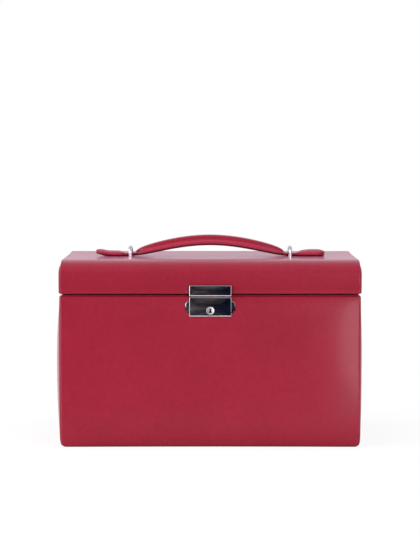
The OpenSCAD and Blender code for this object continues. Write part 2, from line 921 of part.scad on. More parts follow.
// Half width of the strap at x: tongue ends, narrow necks in the staples and a wide grip
function strap_half(x) =
    let (
        end_d = min(x - strap_x0, strap_x1 - x),
        tip = end_d >= tab_w / 2 ? 1 : sqrt(max(0.01, 1 - pow(1 - 2 * end_d / tab_w, 2))),
        off = abs(x) - staple_x,
        tab = smooth((off - staple_wire) / 7),
        grip = smooth((-off - staple_wire) / 12)
    )
    tip * (neck_w + (tab_w - neck_w) * tab + (grip_w - neck_w) * grip) / 2;

// Half width and height of the padding at x, drawn in by a given skin
function grip_taper(x, skin) =
    let (d = min(1, abs(x - grip_x) / (grip_half - skin)))
    sqrt(1 - pow(d, 5));

// A solid through rings of points that all have the same number of points
module loft(rings) {
    n = len(rings[0]);
    last = len(rings) - 1;
    points = [for (ring = rings, p = ring) p];
    sides = [
        for (i = [0 : last - 1], k = [0 : n - 1], half = [0, 1])
            let (
                a = i * n + k,
                b = i * n + (k + 1) % n
            )
            half == 0 ? [a, b + n, a + n] : [a, b, b + n]
    ];
    first_cap = [for (k = [1 : n - 2]) [0, k + 1, k]];
    last_cap = [for (k = [1 : n - 2]) [last * n, last * n + k, last * n + k + 1]];
    polyhedron(points = points, faces = concat(sides, first_cap, last_cap), convexity = 6);
}

// Cross section of the strap: a flat band with eased edges
function strap_ring(x) =
    let (
        h = strap_half(x),
        e = min(strap_edge, h / 3),
        z = strap_under(x),
        t = strap_t
    )
    [
        [x, -h + e, z], [x, -h, z + e], [x, -h, z + t - e], [x, -h + e, z + t],
        [x, h - e, z + t], [x, h, z + t - e], [x, h, z + e], [x, h - e, z]
    ];

// Places along the grip where its cross sections are drawn, shared by the strap and the padding
grip_lines = [1, 0.985, 0.95, 0.88, 0.76, 0.62, 0.46, 0.3, 0.15];
grip_half = grip_len / 2;
grip_xs = concat(
    [for (t = grip_lines) grip_x - t * grip_half],
    [grip_x],
    [for (i = [len(grip_lines) - 1 : -1 : 0]) grip_x + grip_lines[i] * grip_half]
);

module handle_strap() {
    tip_lines = [0, 0.06, 0.2, 0.45, 0.75, 1];
    tip = tab_w / 2;
    neck_lines = [-7, -3, 3, 7, 11, 18];
    xs = concat(
        [for (t = tip_lines) strap_x0 + t * tip],
        [
            for (i = [len(neck_lines) - 1 : -1 : 0])
                let (x = -staple_x - neck_lines[i])
                if (x > strap_x0 + tip + 0.5 && x < grip_xs[0] - 0.5) x
        ],
        grip_xs,
        [
            for (d = neck_lines)
                let (x = staple_x + d)
                if (x < strap_x1 - tip - 0.5 && x > grip_x + grip_half + 0.5) x
        ],
        [for (i = [len(tip_lines) - 1 : -1 : 0]) strap_x1 - tip_lines[i] * tip]
    );
    color(leather_red) loft([for (x = xs) strap_ring(x)]);
}

// Cross section of the padding on the strap: flat below and round above
function grip_ring(x, skin, sink) =
    let (
        full = grip_taper(x, skin),
        w = (strap_half(x) - strap_edge - skin) * max(0.15, full),
        h = (grip_h - skin) * max(0.06, full),
        z = strap_under(x) + strap_t
    )
    concat(
        [[x, -w, z - sink]],
        [for (i = [0 : 8]) let (a = 180 - 180 * i / 8) [x, w * cos(a), z + 0.25 * h + 0.75 * h * sin(a)]],
        [[x, w, z - sink]]
    );

module padding(skin, sink) {
    reach = grip_half - skin;
    xs = skin == 0 ? grip_xs : concat(
        [grip_x - reach],
        [for (x = grip_xs) if (abs(x - grip_x) < reach - 0.3) x],
        [grip_x + reach]
    );
    loft([for (x = xs) grip_ring(x, skin, sink)]);
}

module handle_core() {
    color(foam_grey) padding(wrap_t + run, 0);
}

module handle_wrap() {
    color(leather_red) difference() {
        padding(0, 0);
        padding(wrap_t, 1);
    }
}

// Tray links
// A strip between two places in the YZ plane, with round eyes, as a flat shape
module strip_shape(p, q, w, eye_r) {
    run_len = norm(q - p);
    turn = atan2(q[1] - p[1], q[0] - p[0]);
    translate(p) rotate(turn) translate([0, -w / 2]) square([run_len, w]);
    translate(p) circle(eye_r);
    translate(q) circle(eye_r);
}

// A flat shape drawn in Y and Z, as a plate from x to x + t
module plate_x(x, t) {
    translate([x, 0, 0]) rotate([90, 0, 90]) linear_extrude(t) children();
}

module tray_bracket(side) {
    on_side(side) color(steel) difference() {
        union() {
            plate_x(bracket_x, link_t) union() {
                translate([lift_y, lift_z]) circle(link_eye_r);
                polygon([
                    [bracket_y0, lift_z],
                    [lift_y + link_eye_r, lift_z],
                    [bracket_y1, bracket_pad_z - 4],
                    [bracket_y1, bracket_top_z],
                    [bracket_y0, bracket_top_z]
                ]);
            }
            block([bracket_x, bracket_y0, bracket_pad_z], [room_x, bracket_y1, bracket_top_z]);
        }
        rod_x(bracket_x - 1, room_x + 1, lift_y, lift_z, link_pin_r);
        for (y = bracket_rivets_y) rod_x(bracket_x - 1, room_x + 1, y, bracket_mid_z, rivet_r);
    }
}

module tray_bracket_left() {
    tray_bracket(-1);
}

module tray_bracket_right() {
    tray_bracket(1);
}

module bracket_rivets() {
    color(steel) both_sides() for (y = bracket_rivets_y) {
        rod_x(bracket_x, half_w, y, bracket_mid_z, rivet_r);
        rod_x(bracket_x - rivet_head_t, bracket_x, y, bracket_mid_z, rivet_head_r);
    }
}

module bracket_pivots() {
    color(steel) both_sides() {
        rod_x(tray_x - pin_depth + play, bracket_x + link_t, lift_y, lift_z, link_pin_r);
        rod_x(tray_x + loose, bracket_x, lift_y, lift_z, link_pin_r + 1.2);
    }
}

module arm_pivots() {
    color(steel) both_sides() {
        rod_x(arm_x - play, half_w, arm_y, arm_z, link_pin_r);
        rod_x(arm_x + link_t + play / 2, room_x, arm_y, arm_z, link_pin_r + 1.2);
        rod_x(arm_x - play / 2 - pin_head_t, arm_x - play / 2, arm_y, arm_z, link_pin_r + 1.8);
    }
}

module tray_arm(side) {
    on_side(side) color(steel) difference() {
        plate_x(arm_x, link_t) strip_shape([arm_y, arm_z], [level_y, level_z], link_w, link_eye_r);
        rod_x(arm_x - 1, arm_x + link_t + 1, arm_y, arm_z, link_pin_r + run);
        rod_x(arm_x - 1, arm_x + link_t + 1, level_y, level_z, link_pin_r + loop_play);
    }
}

module arm_left() {
    tray_arm(-1);
}

module arm_right() {
    tray_arm(1);
}

module tray_pins() {
    head_x = arm_x + link_t + play;
    color(steel) both_sides() {
        rod_x(tray_x - pin_depth, head_x, level_y, level_z, link_pin_r);
        rod_x(tray_x, arm_x - play, level_y, level_z, link_pin_r + 1);
        rod_x(head_x, head_x + pin_head_t, level_y, level_z, link_pin_r + 1.4);
    }
}

// Tray
module tray_floor() {
    color(lining_ivory)
        block([-tray_x, tray_front_y, tray_low_z], [tray_x, tray_back_y, tray_wall_z]);
}

module tray_front_wall() {
    color(lining_ivory)
        block([-tray_x, tray_front_y, tray_wall_z], [tray_x, tray_in_front, tray_top_z]);
}

module tray_back_wall() {
    color(lining_ivory)
        block([-tray_x, tray_in_back, tray_wall_z], [tray_x, tray_back_y, tray_top_z]);
}

module tray_flank_wall() {
    difference() {
        block([tray_in_x, tray_in_front, tray_wall_z], [tray_x, tray_in_back, tray_top_z]);
        rod_x(tray_x - pin_depth, tray_x + 1, lift_y, lift_z, link_pin_r + run);
        rod_x(tray_x - pin_depth, tray_x + 1, level_y, level_z, link_pin_r);
    }
}

module tray_left_wall() {
    color(lining_ivory) on_side(-1) tray_flank_wall();
}

module tray_right_wall() {
    color(lining_ivory) on_side(1) tray_flank_wall();
}

// Dividers: one wall beside the ring rolls, one along the middle of the rest, two across it
module tray_dividers() {
    top = tray_wall_z + tray_divider_h;
    mid_x = (compartment_x0 + tray_in_x) / 2;
    bay = (tray_in_back - tray_in_front) / 3;
    color(lining_ivory) union() {
        block([rolls_x1, tray_in_front, tray_wall_z], [compartment_x0, tray_in_back, top]);
        block([mid_x - divider_t / 2, tray_in_front, tray_wall_z], [mid_x + divider_t / 2, tray_in_back, top]);
        for (i = [1, 2])
            translate([0, tray_in_front + i * bay, 0])
                block([rolls_x1, -divider_t / 2, tray_wall_z], [tray_in_x, divider_t / 2, top]);
    }
}

// Ring rolls: a row of round cushions on one foam block
module ring_rolls() {
    color(foam_grey) plate_x(-tray_in_x, rolls_x1 + tray_in_x) union() {
        translate([tray_in_front, tray_wall_z])
            square([tray_in_back - tray_in_front, roll_axis_z - tray_wall_z]);
        for (i = [0 : ring_rolls_n - 1])
            translate([tray_in_front + (2 * i + 1) * roll_r, roll_axis_z]) circle(roll_r);
    }
}

base_board();
front_board();
back_board();
left_board();
right_board();
front_cover();
back_cover();
left_cover();
right_cover();
base_cover();
body_lining();
bottom_dividers();
hinge_leaf_body();
hinge_pin();
hinge_screws_body();
lock_back_plate();
lock_housing();
lock_rivets();
button_springs();
arm_pivots();
lid_top_board();
lid_front_board();
lid_back_board();
lid_left_board();
lid_right_board();
lid_wrap_cover();
lid_left_cover();
lid_right_cover();
lid_lining();
lid_mirror();
mirror_frame();
strike_plate();
strike_rivets();
staple_left();
staple_right();
staple_washers();
hinge_leaf_lid();
hinge_screws_lid();
tray_bracket_left();
tray_bracket_right();
bracket_rivets();
bracket_pivots();
handle_strap();
handle_core();
handle_wrap();
tray_floor();
tray_front_wall();
tray_back_wall();
tray_left_wall();
tray_right_wall();
tray_dividers();
ring_rolls();
tray_pins();
arm_left();
arm_right();
button_left();
button_right();
lock_plug();
plug_cam();
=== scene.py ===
import math
import bmesh
import bpy
from mathutils import Matrix, Vector, noise


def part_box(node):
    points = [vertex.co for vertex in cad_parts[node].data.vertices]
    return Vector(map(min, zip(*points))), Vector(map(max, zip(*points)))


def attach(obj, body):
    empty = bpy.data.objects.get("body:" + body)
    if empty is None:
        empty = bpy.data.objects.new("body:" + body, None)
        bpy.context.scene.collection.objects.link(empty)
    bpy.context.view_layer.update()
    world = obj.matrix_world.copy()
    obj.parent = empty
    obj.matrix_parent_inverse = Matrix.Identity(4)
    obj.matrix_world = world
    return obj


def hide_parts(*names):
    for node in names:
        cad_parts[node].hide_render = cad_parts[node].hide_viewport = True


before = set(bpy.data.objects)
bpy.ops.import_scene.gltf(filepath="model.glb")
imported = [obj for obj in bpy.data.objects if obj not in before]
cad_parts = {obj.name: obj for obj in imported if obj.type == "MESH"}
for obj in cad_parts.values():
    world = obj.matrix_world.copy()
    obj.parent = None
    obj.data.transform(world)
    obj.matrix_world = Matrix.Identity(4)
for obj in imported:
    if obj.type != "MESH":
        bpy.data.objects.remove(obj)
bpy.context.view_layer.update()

# The studio: a plain pale floor, a white surround and soft boxes above and to both sides.
# A dark card lies before the case and stands behind the camera. Only reflections show it,
# so the polished metal on the front reads dark between bright edges.
scene = bpy.context.scene
scene.view_settings.view_transform = "Standard"


def wire(tree, kind, inputs=None, **settings):
    """Adds a node to a tree, sets it up, and links or fills its inputs."""
    node = tree.nodes.new(kind)
    for name, value in settings.items():
        setattr(node, name, value)
    for key, value in (inputs or {}).items():
        socket = node.inputs[key]
        if isinstance(value, bpy.types.NodeSocket):
            tree.links.new(value, socket)
        else:
            socket.default_value = value
    return node


def set_down(bm, name, *materials, sharp=40):
    """Makes an object at the origin from a shape that is drawn in millimetres."""
    bmesh.ops.scale(bm, vec=(0.001, 0.001, 0.001), verts=bm.verts)
    mesh = bpy.data.meshes.new(name)
    bm.to_mesh(mesh)
    bm.free()
    for face in mesh.polygons:
        face.use_smooth = True
    mesh.set_sharp_from_angle(angle=math.radians(sharp))
    for material in materials:
        mesh.materials.append(material)
    piece = bpy.data.objects.new(name, mesh)
    scene.collection.objects.link(piece)
    return piece


surround = bpy.data.worlds.new("white_surround")
scene.world = surround
surround.use_nodes = True
tree = surround.node_tree
tree.nodes.clear()
path = wire(tree, "ShaderNodeLightPath")
by_camera = path.outputs["Is Camera Ray"]
seen = wire(tree, "ShaderNodeMath", {0: by_camera, 1: path.outputs["Is Glossy Ray"]}, operation="ADD")
shown = wire(tree, "ShaderNodeMath", {0: seen.outputs[0], 1: path.outputs["Is Transmission Ray"]},
             operation="ADD", use_clamp=True)
mirrored = (0.80, 0.78, 0.86, 1)
glare = wire(tree, "ShaderNodeMix", {0: by_camera, 6: mirrored, 7: (1, 1, 1, 1)}, data_type="RGBA")
soft = wire(tree, "ShaderNodeBackground", {"Color": (0.97, 0.98, 1, 1), "Strength": 0.6})
white = wire(tree, "ShaderNodeBackground", {"Color": glare.outputs[2], "Strength": 1.0})
both = wire(tree, "ShaderNodeMixShader", {0: shown.outputs[0], 1: soft.outputs[0], 2: white.outputs[0]})
wire(tree, "ShaderNodeOutputWorld", {"Surface": both.outputs[0]})


def studio_paper(name, dark, light, near, fade):
    """Paper that the camera sees as white, with some of its own shading near the case.
    It goes from a dark shade at the lower right to a light one at the upper left, and fades out
    between two heights."""
    material = bpy.data.materials.new(name)
    material.use_nodes = True
    tree = material.node_tree
    tree.nodes.clear()
    path = wire(tree, "ShaderNodeLightPath")
    place = wire(tree, "ShaderNodeTexCoord").outputs["Object"]
    away = wire(tree, "ShaderNodeVectorMath", {0: place}, operation="LENGTH")
    glow = wire(tree, "ShaderNodeMapRange",
                {"Value": away.outputs["Value"], 1: 0.2, 2: 0.6, 3: near, 4: 1.0})
    share = wire(tree, "ShaderNodeMath", {0: path.outputs["Is Camera Ray"], 1: glow.outputs[0]},
                 operation="MULTIPLY")
    lean = wire(tree, "ShaderNodeVectorMath", {0: place, 1: (-1.3, 0.0, 1.5)}, operation="DOT_PRODUCT")
    patches = wire(tree, "ShaderNodeTexNoise", {"Vector": place, "Scale": 4.0, "Detail": 2.0})
    drift = wire(tree, "ShaderNodeMath", {0: patches.outputs["Fac"], 1: 0.8, 2: lean.outputs["Value"]},
                 operation="MULTIPLY_ADD")
    turn = wire(tree, "ShaderNodeMapRange", {"Value": drift.outputs[0], 1: 0.35, 2: 1.05, 3: 0.0, 4: 1.0})
    shade = wire(tree, "ShaderNodeMix", {0: turn.outputs[0], 6: (*dark, 1), 7: (*light, 1)},
                 data_type="RGBA")
    matt = wire(tree, "ShaderNodeBsdfDiffuse", {"Color": shade.outputs[2]})
    lit = wire(tree, "ShaderNodeEmission", {"Color": (1, 1, 1, 1), "Strength": 1.0})
    mix = wire(tree, "ShaderNodeMixShader", {0: share.outputs[0], 1: matt.outputs[0], 2: lit.outputs[0]})
    height = wire(tree, "ShaderNodeSeparateXYZ", {0: place})
    thin = wire(tree, "ShaderNodeMapRange",
                {"Value": height.outputs["Z"], 1: fade[0], 2: fade[1], 3: 0.0, 4: 1.0},
                interpolation_type="SMOOTHSTEP")
    clear = wire(tree, "ShaderNodeBsdfTransparent")
    veil = wire(tree, "ShaderNodeMixShader", {0: thin.outputs[0], 1: mix.outputs[0], 2: clear.outputs[0]})
    wire(tree, "ShaderNodeOutputMaterial", {"Surface": veil.outputs[0]})
    return material


floor_front = -330
floor_half = 6000
pale_paper = studio_paper("pale_paper", (0.91, 0.91, 0.91), (0.93, 0.93, 0.93), 0.86, (1, 2))
bm = bmesh.new()
bmesh.ops.create_grid(bm, x_segments=1, y_segments=1, size=floor_half)
bmesh.ops.translate(bm, vec=(0, floor_half + floor_front, 0), verts=bm.verts)
floor = set_down(bm, "floor", pale_paper)

card_x = -1200
card_half_w = 1450
card_half_d = 1100
card_tall = 3200
dark_paper = studio_paper("dark_paper", (0.006, 0.008, 0.02), (0.24, 0.20, 0.18), 1.0, (0.8, 3.2))
bm = bmesh.new()
bmesh.ops.create_grid(bm, x_segments=1, y_segments=1, size=1)
bmesh.ops.scale(bm, vec=(card_half_w, card_half_d, 1), verts=bm.verts)
bmesh.ops.translate(bm, vec=(card_x, floor_front - card_half_d, -1), verts=bm.verts)
far_edge = [edge for edge in bm.edges if all(v.co.y < floor_front - card_half_d for v in edge.verts)]
raised = bmesh.ops.extrude_edge_only(bm, edges=far_edge)["geom"]
upper = [g for g in raised if isinstance(g, bmesh.types.BMVert)]
bmesh.ops.translate(bm, vec=(0, 0, card_tall), verts=upper)
card = set_down(bm, "dark_card", dark_paper)
card.visible_diffuse = False
card.visible_shadow = False


def soft_box(name, place, aim, size, watts, tint=(1, 1, 1)):
    """A rectangular lamp that faces a point."""
    lamp = bpy.data.lights.new(name, "AREA")
    lamp.shape = "RECTANGLE"
    lamp.size, lamp.size_y = size
    lamp.energy = watts
    lamp.color = tint
    box = bpy.data.objects.new(name, lamp)
    box.location = place
    box.rotation_euler = (Vector(aim) - Vector(place)).to_track_quat("-Z", "Y").to_euler()
    box.visible_camera = False
    scene.collection.objects.link(box)
    return box


top_box = soft_box("top_box", (0.0, -0.35, 2.0), (0, -0.05, 0.1), (2.6, 1.8), 26)
top_box.visible_glossy = False
soft_box("right_box", (0.7, -1.88, 0.3), (0.05, 0, 0.09), (0.42, 1.2), 20, (0.98, 0.93, 1))
soft_box("left_box", (-1.5, -0.5, 0.45), (0, 0, 0.07), (1.6, 1.4), 24, (1, 0.9, 1))

view = bpy.data.cameras.new("view")
view.sensor_fit = "VERTICAL"
view.sensor_height = 36
view.lens = 137.4
camera = bpy.data.objects.new("camera", view)
camera.location = (-0.0003, -2.038, 0.2929)
camera.rotation_euler = (math.radians(90 - 4.070), 0, 0)
scene.collection.objects.link(camera)
scene.camera = camera

# Boards of the body and the lid: five millimetres of pressed fibre board, glued into two open boxes.
# The covers hide them outside and the linings inside.


def principled(name, constants):
    """A new material with its shader. Values that are the same all over are set on the shader."""
    material = bpy.data.materials.new(name)
    material.use_nodes = True
    tree = material.node_tree
    tree.nodes.clear()
    shader = wire(tree, "ShaderNodeBsdfPrincipled", constants)
    wire(tree, "ShaderNodeOutputMaterial", {"Surface": shader.outputs[0]})
    return material, tree, shader


def finish_nodes(material, *nodes):
    """Gives nodes of the frame a material."""
    for name in nodes:
        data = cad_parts[name].data
        data.materials.clear()
        data.materials.append(material)


fibre_board, tree, shader = principled("fibre_board", {"Roughness": 0.85})
place = wire(tree, "ShaderNodeTexCoord").outputs["Object"]
stretch = wire(tree, "ShaderNodeMapping", {"Vector": place, "Scale": (1.0, 1.0, 3.0)})
fibres = wire(tree, "ShaderNodeTexNoise", {"Vector": stretch.outputs[0], "Scale": 700.0, "Detail": 6.0})
tint = wire(tree, "ShaderNodeMix",
            {0: fibres.outputs["Fac"], 6: (0.36, 0.25, 0.15, 1), 7: (0.52, 0.39, 0.25, 1)},
            data_type="RGBA")
tree.links.new(tint.outputs[2], shader.inputs["Base Color"])
fuzz = wire(tree, "ShaderNodeBump", {"Strength": 0.4, "Distance": 0.0002, "Height": fibres.outputs["Fac"]})
tree.links.new(fuzz.outputs[0], shader.inputs["Normal"])
finish_nodes(fibre_board, "base_board", "front_board", "back_board", "left_board", "right_board",
             "lid_top_board", "lid_front_board", "lid_back_board", "lid_left_board", "lid_right_board")

# Covers of the body: red leather with a fine grain, drawn over thin foam and glued to the boards.
# Each cover is one panel that is full in the middle and rolls down to the board at its edges.


def leather_skin():
    """Fine grained leather: its pebbles and creases as a height, and a slow drift of its tone."""
    group = bpy.data.node_groups.new("leather_skin", "ShaderNodeTree")
    group.interface.new_socket("Pebbles", in_out="INPUT", socket_type="NodeSocketFloat")
    group.interface.new_socket("Tone", in_out="OUTPUT", socket_type="NodeSocketFloat")
    group.interface.new_socket("Height", in_out="OUTPUT", socket_type="NodeSocketFloat")
    given = wire(group, "NodeGroupInput")
    place = wire(group, "ShaderNodeTexCoord").outputs["Object"]
    drift = wire(group, "ShaderNodeTexNoise", {"Vector": place, "Scale": 900.0, "Detail": 2.0})
    sway = wire(group, "ShaderNodeVectorMath", {0: drift.outputs["Color"], 1: (0.0004, 0.0004, 0.0004)},
                operation="MULTIPLY")
    bent = wire(group, "ShaderNodeVectorMath", {0: place, 1: sway.outputs[0]}, operation="ADD")
    cells = wire(group, "ShaderNodeTexVoronoi",
                 {"Vector": bent.outputs[0], "Scale": given.outputs["Pebbles"]},
                 feature="DISTANCE_TO_EDGE")
    pebbles = wire(group, "ShaderNodeMapRange",
                   {"Value": cells.outputs["Distance"], 1: 0.0, 2: 0.22, 3: 0.0, 4: 1.0},
                   interpolation_type="SMOOTHSTEP")
    pores = wire(group, "ShaderNodeTexNoise", {"Vector": place, "Scale": 3200.0, "Detail": 3.0})
    height = wire(group, "ShaderNodeMath", {0: pores.outputs["Fac"], 1: 0.35, 2: pebbles.outputs[0]},
                  operation="MULTIPLY_ADD")
    slow = wire(group, "ShaderNodeTexNoise",
                {"Vector": place, "Scale": 16.0, "Detail": 4.0, "Roughness": 0.6})
    mottle = wire(group, "ShaderNodeTexNoise",
                  {"Vector": place, "Scale": 300.0, "Detail": 3.0, "Roughness": 0.6})
    blend = wire(group, "ShaderNodeMath", {0: mottle.outputs["Fac"], 1: 1.1, 2: slow.outputs["Fac"]},
                 operation="MULTIPLY_ADD")
    tone = wire(group, "ShaderNodeMapRange", {"Value": blend.outputs[0], 1: 0.75, 2: 1.35, 3: 0.0, 4: 1.0})
    wire(group, "NodeGroupOutput", {"Tone": tone.outputs[0], "Height": height.outputs[0]})
    return group


leather_grain = leather_skin()


def grained_leather(name, constants, dark, light, dull, smooth, pebbles, painted_highlight=None):
    """Leather between two colours, dull in its creases and smoother on its pebbles.
    Where a lighter colour is given, the piece's own attribute blends it in as a painted highlight."""
    material, tree, shader = principled(name, constants)
    skin = wire(tree, "ShaderNodeGroup", {"Pebbles": pebbles}, node_tree=leather_grain)
    tint = wire(tree, "ShaderNodeMix", {0: skin.outputs["Tone"], 6: (*dark, 1), 7: (*light, 1)},
                data_type="RGBA")
    # Painted highlight: a lighter colour blended in by the piece's own attribute.
    if painted_highlight:
        wear_and_highlight = wire(tree, "ShaderNodeAttribute", attribute_name="painted_highlight")
        tint = wire(tree, "ShaderNodeMix", {0: wear_and_highlight.outputs["Fac"], 6: tint.outputs[2], 7: (*painted_highlight, 1)},
                    data_type="RGBA")
    tree.links.new(tint.outputs[2], shader.inputs["Base Color"])
    height = skin.outputs["Height"]
    gloss = wire(tree, "ShaderNodeMapRange", {"Value": height, 1: 0.0, 2: 1.2, 3: dull, 4: smooth})
    tree.links.new(gloss.outputs[0], shader.inputs["Roughness"])
    bumps = wire(tree, "ShaderNodeBump", {"Strength": 0.22, "Distance": 0.00008, "Height": height})
    tree.links.new(bumps.outputs[0], shader.inputs["Normal"])
    return material


leather_gloss = {"IOR": 1.21, "Coat Weight": 0.7, "Coat Roughness": 0.16, "Coat IOR": 1.2,
                 "Sheen Weight": 0.12, "Sheen Roughness": 0.35, "Sheen Tint": (1.0, 0.55, 0.8, 1)}
leather_dark = (0.210, 0.0058, 0.0184)
leather_light = (0.252, 0.0082, 0.0242)
red_leather = grained_leather("red_leather", leather_gloss, leather_dark, leather_light, 0.55, 0.44, 1500.0)


def box_mm(node):
    """Lowest and highest corner of a node at rest, in millimetres."""
    low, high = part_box(node)
    return low * 1000, high * 1000


def fit(piece, body, slot, *nodes):
    """Fixes a piece to the body it moves with, in place of the nodes that it stands for."""
    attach(piece, body)
    if nodes:
        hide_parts(*nodes)


def crowd(t):
    """Spreads lines from -1 to 1 so that they lie close together at both ends."""
    return math.copysign(1 - (1 - min(1, abs(t))) ** 1.9, t)


def quarter(d, r):
    """Rise of a rolled edge of radius r, from 0 at the edge to 1 at r and beyond."""
    return 1.0 if d >= r else math.sqrt(1 - (1 - d / r) ** 2)


def leather_pad(wide, tall, edge, crown, rolls, low_r=6.0, fullness=(6, 6), arch=0.0, cells=(88, 56),
                brim=None):
    """A cover that faces the front, with its back on Y = 0 and its lower edge on Z = 0.
    It is as thick as edge, crowned in the middle, and rolls down at its sides, its foot and its top.
    Where brim is given, it limits the height at each place across."""
    side_roll, low_roll, top_roll = rolls
    top_r = 1.5
    tucked = 0.15
    ripple = 0.16
    bm = bmesh.new()
    bmesh.ops.create_grid(bm, x_segments=cells[0], y_segments=cells[1], size=1)
    for v in bm.verts:
        a = crowd(v.co.x) * wide / 2
        b = (1 + crowd(v.co.y)) * tall / 2
        drawn = low_r * (1 - quarter(b, low_r)) + top_r * (1 - quarter(tall - b, top_r))
        from_side = quarter(wide / 2 - abs(a), side_roll)
        roll = min(from_side, quarter(b, low_roll), quarter(tall - b, top_roll))
        full = (1 - abs(2 * a / wide) ** fullness[0]) * (1 - abs(2 * b / tall - 1) ** fullness[1])
        out = edge * (tucked + (1 - tucked) * roll) + crown * full
        out += ripple * full * noise.noise(Vector((a / 42, b / 34, wide)))
        lift = arch * (1 - (2 * a / wide) ** 2) * (1 - b / tall) ** 2
        share = 1 if brim is None else min(1, brim(a) / tall)
        v.co = (a * (1 - 2 * drawn / wide), -out, b * share + lift)
    return bm


def back_up(bm):
    """Closes a cover from its open edge to the board behind it."""
    rim = [edge for edge in bm.edges if edge.is_boundary]
    made = bmesh.ops.extrude_edge_only(bm, edges=rim)["geom"]
    for v in made:
        if isinstance(v, bmesh.types.BMVert):
            v.co.y = 0
    loose = [edge for edge in bm.edges if edge.is_boundary]
    bmesh.ops.holes_fill(bm, edges=loose, sides=0)
    bmesh.ops.recalc_face_normals(bm, faces=bm.faces)


def turn_to(bm, turn, place):
    """Turns a cover about the upright axis, then sets it in its place."""
    spin = Matrix.Rotation(math.radians(turn), 3, "Z")
    bmesh.ops.rotate(bm, cent=(0, 0, 0), matrix=spin, verts=bm.verts)
    bmesh.ops.translate(bm, vec=place, verts=bm.verts)


def cut_window(bm, low, high, pick=lambda face: True):
    """Cuts an opening between two corners into the faces that pick chooses."""
    for axis in range(3):
        normal = [0, 0, 0]
        normal[axis] = 1
        for corner in (low, high):
            near = [face for face in bm.faces if pick(face)]
            parts = list(dict.fromkeys(g for face in near for g in (*face.verts, *face.edges, face)))
            bmesh.ops.bisect_plane(bm, geom=parts, plane_co=corner, plane_no=normal)
    hole = [face for face in bm.faces if pick(face)
            and all(low[k] <= face.calc_center_median()[k] <= high[k] for k in range(3))]
    bmesh.ops.delete(bm, geom=hole, context="FACES")


def add_board(bm, low, high):
    """Adds a box between two corners to a shape, and returns its edges."""
    made = bmesh.ops.create_cube(bm, size=1)["verts"]
    low, high = Vector(low), Vector(high)
    bmesh.ops.scale(bm, vec=high - low, verts=made)
    bmesh.ops.translate(bm, vec=(low + high) / 2, verts=made)
    return list(dict.fromkeys(edge for v in made for edge in v.link_edges))


def ease(bm, edges, radius, segments=3):
    """Rounds edges over."""
    bmesh.ops.bevel(bm, geom=edges, offset=radius, affect="EDGES", segments=segments, profile=0.5,
                    material=-1)


half_w = box_mm("base_board")[1].x
half_d = box_mm("base_board")[1].y
rim_z = box_mm("front_cover")[1].z - 0.4
foot_z = 0.0
panel_w = 2 * box_mm("front_cover")[1].x
lock_low, lock_high = box_mm("lock_housing")
lock_low.z += 0.9
lock_w = lock_high.x + 0.2
ear_low, ear_high = box_mm("button_right")
ear_mid = (ear_low.z + ear_high.z) / 2
ear_half = 5.25
ear_z0 = ear_mid - ear_half - 0.2
ear_z1 = ear_mid + ear_half + 0.2
ear_w = ear_high.x + 0.3
ear_corner_x = 1.7
ear_corner_z = 1.8
far = 99

bm = leather_pad(panel_w, rim_z - foot_z, 2.0, 3.6, (1.2, 4.5, 1.8), low_r=5.0, fullness=(5, 12), arch=0.3,
                 cells=(120, 70))
for wide, z0, z1 in ((lock_w, lock_low.z - 0.2, rim_z + far), (ear_w - ear_corner_x, ear_z0, ear_z1),
                     (ear_w, ear_z0 + ear_corner_z, ear_z1 - ear_corner_z)):
    cut_window(bm, (-wide, -far, z0 - foot_z), (wide, far, z1 - foot_z))
back_up(bm)
backing_t = 0.6
for x0, x1 in ((-ear_w - 0.2, -lock_w), (lock_w, ear_w + 0.2)):
    add_board(bm, (x0, -backing_t, ear_z0 - 0.5 - foot_z), (x1, 0, ear_z1 + 0.5 - foot_z))
turn_to(bm, 0, (0, -half_d, foot_z))
front_cover = set_down(bm, "front_cover_leather", red_leather, sharp=60)
fit(front_cover, "case_body", "leather", "front_cover")

back_z = box_mm("back_cover")[1].z
bm = leather_pad(panel_w, back_z - foot_z, 2.0, 2.0, (1.3, 4.5, 1.6), low_r=5.0, arch=0.8)
back_up(bm)
turn_to(bm, 180, (0, half_d, foot_z))
back_cover = set_down(bm, "back_cover_leather", red_leather, sharp=60)
fit(back_cover, "case_body", "leather", "back_cover")

side_foot = 0.8
for side, turn, edge, crown in (("left", -90, 3.0, 5.0), ("right", 90, 2.6, 3.4)):
    bm = leather_pad(2 * half_d, rim_z - side_foot, edge, crown, (1.6, 9.0, 1.6), low_r=3.0,
                     fullness=(5, 2.6))
    back_up(bm)
    turn_to(bm, turn, (math.copysign(half_w, turn), 0, side_foot))
    side_cover = set_down(bm, side + "_cover_leather", red_leather, sharp=60)
    fit(side_cover, "case_body", "leather", side + "_cover")

low, high = box_mm("base_cover")
bm = bmesh.new()
ease(bm, add_board(bm, low, high), 0.9)
base_cover = set_down(bm, "base_cover_leather", red_leather)
fit(base_cover, "case_body", "leather", "base_cover")

# Lid cover: one piece of the same leather that runs up the front, over both rolled edges and the top,
# and down the back. Its two ends are turned under at the sides.
lid_low, lid_high = box_mm("lid_wrap_cover")
wrap_top = lid_high.z + 1.5
wrap_rim = lid_low.z + 0.4
wrap_back = 143.2
wrap_d = lid_high.y
wrap_front = wrap_d + 2.4
wrap_sag = 1.0
sag_reach = 78.0
back_drop = 0.8
brow_run = 29.5
brow_fall = 13.6
brow_power = 2.2
nape_run = 10.0
nape_fall = 15.0
lip_r = 1.0


def ramp(t):
    """A smooth step from 0 to 1."""
    t = max(0, min(1, t))
    return t * t * (3 - 2 * t)


def brow(d):
    """How far the front roll has fallen at d from its start on the top."""
    t = min(1, max(0, d) / brow_run)
    return brow_fall * (1 - (1 - t ** brow_power) ** (1 / brow_power))


def nape(d):
    """How far the back roll has fallen at d from its start on the top."""
    return nape_fall * (1 - math.sqrt(1 - min(1, max(0, d) / nape_run) ** 2))


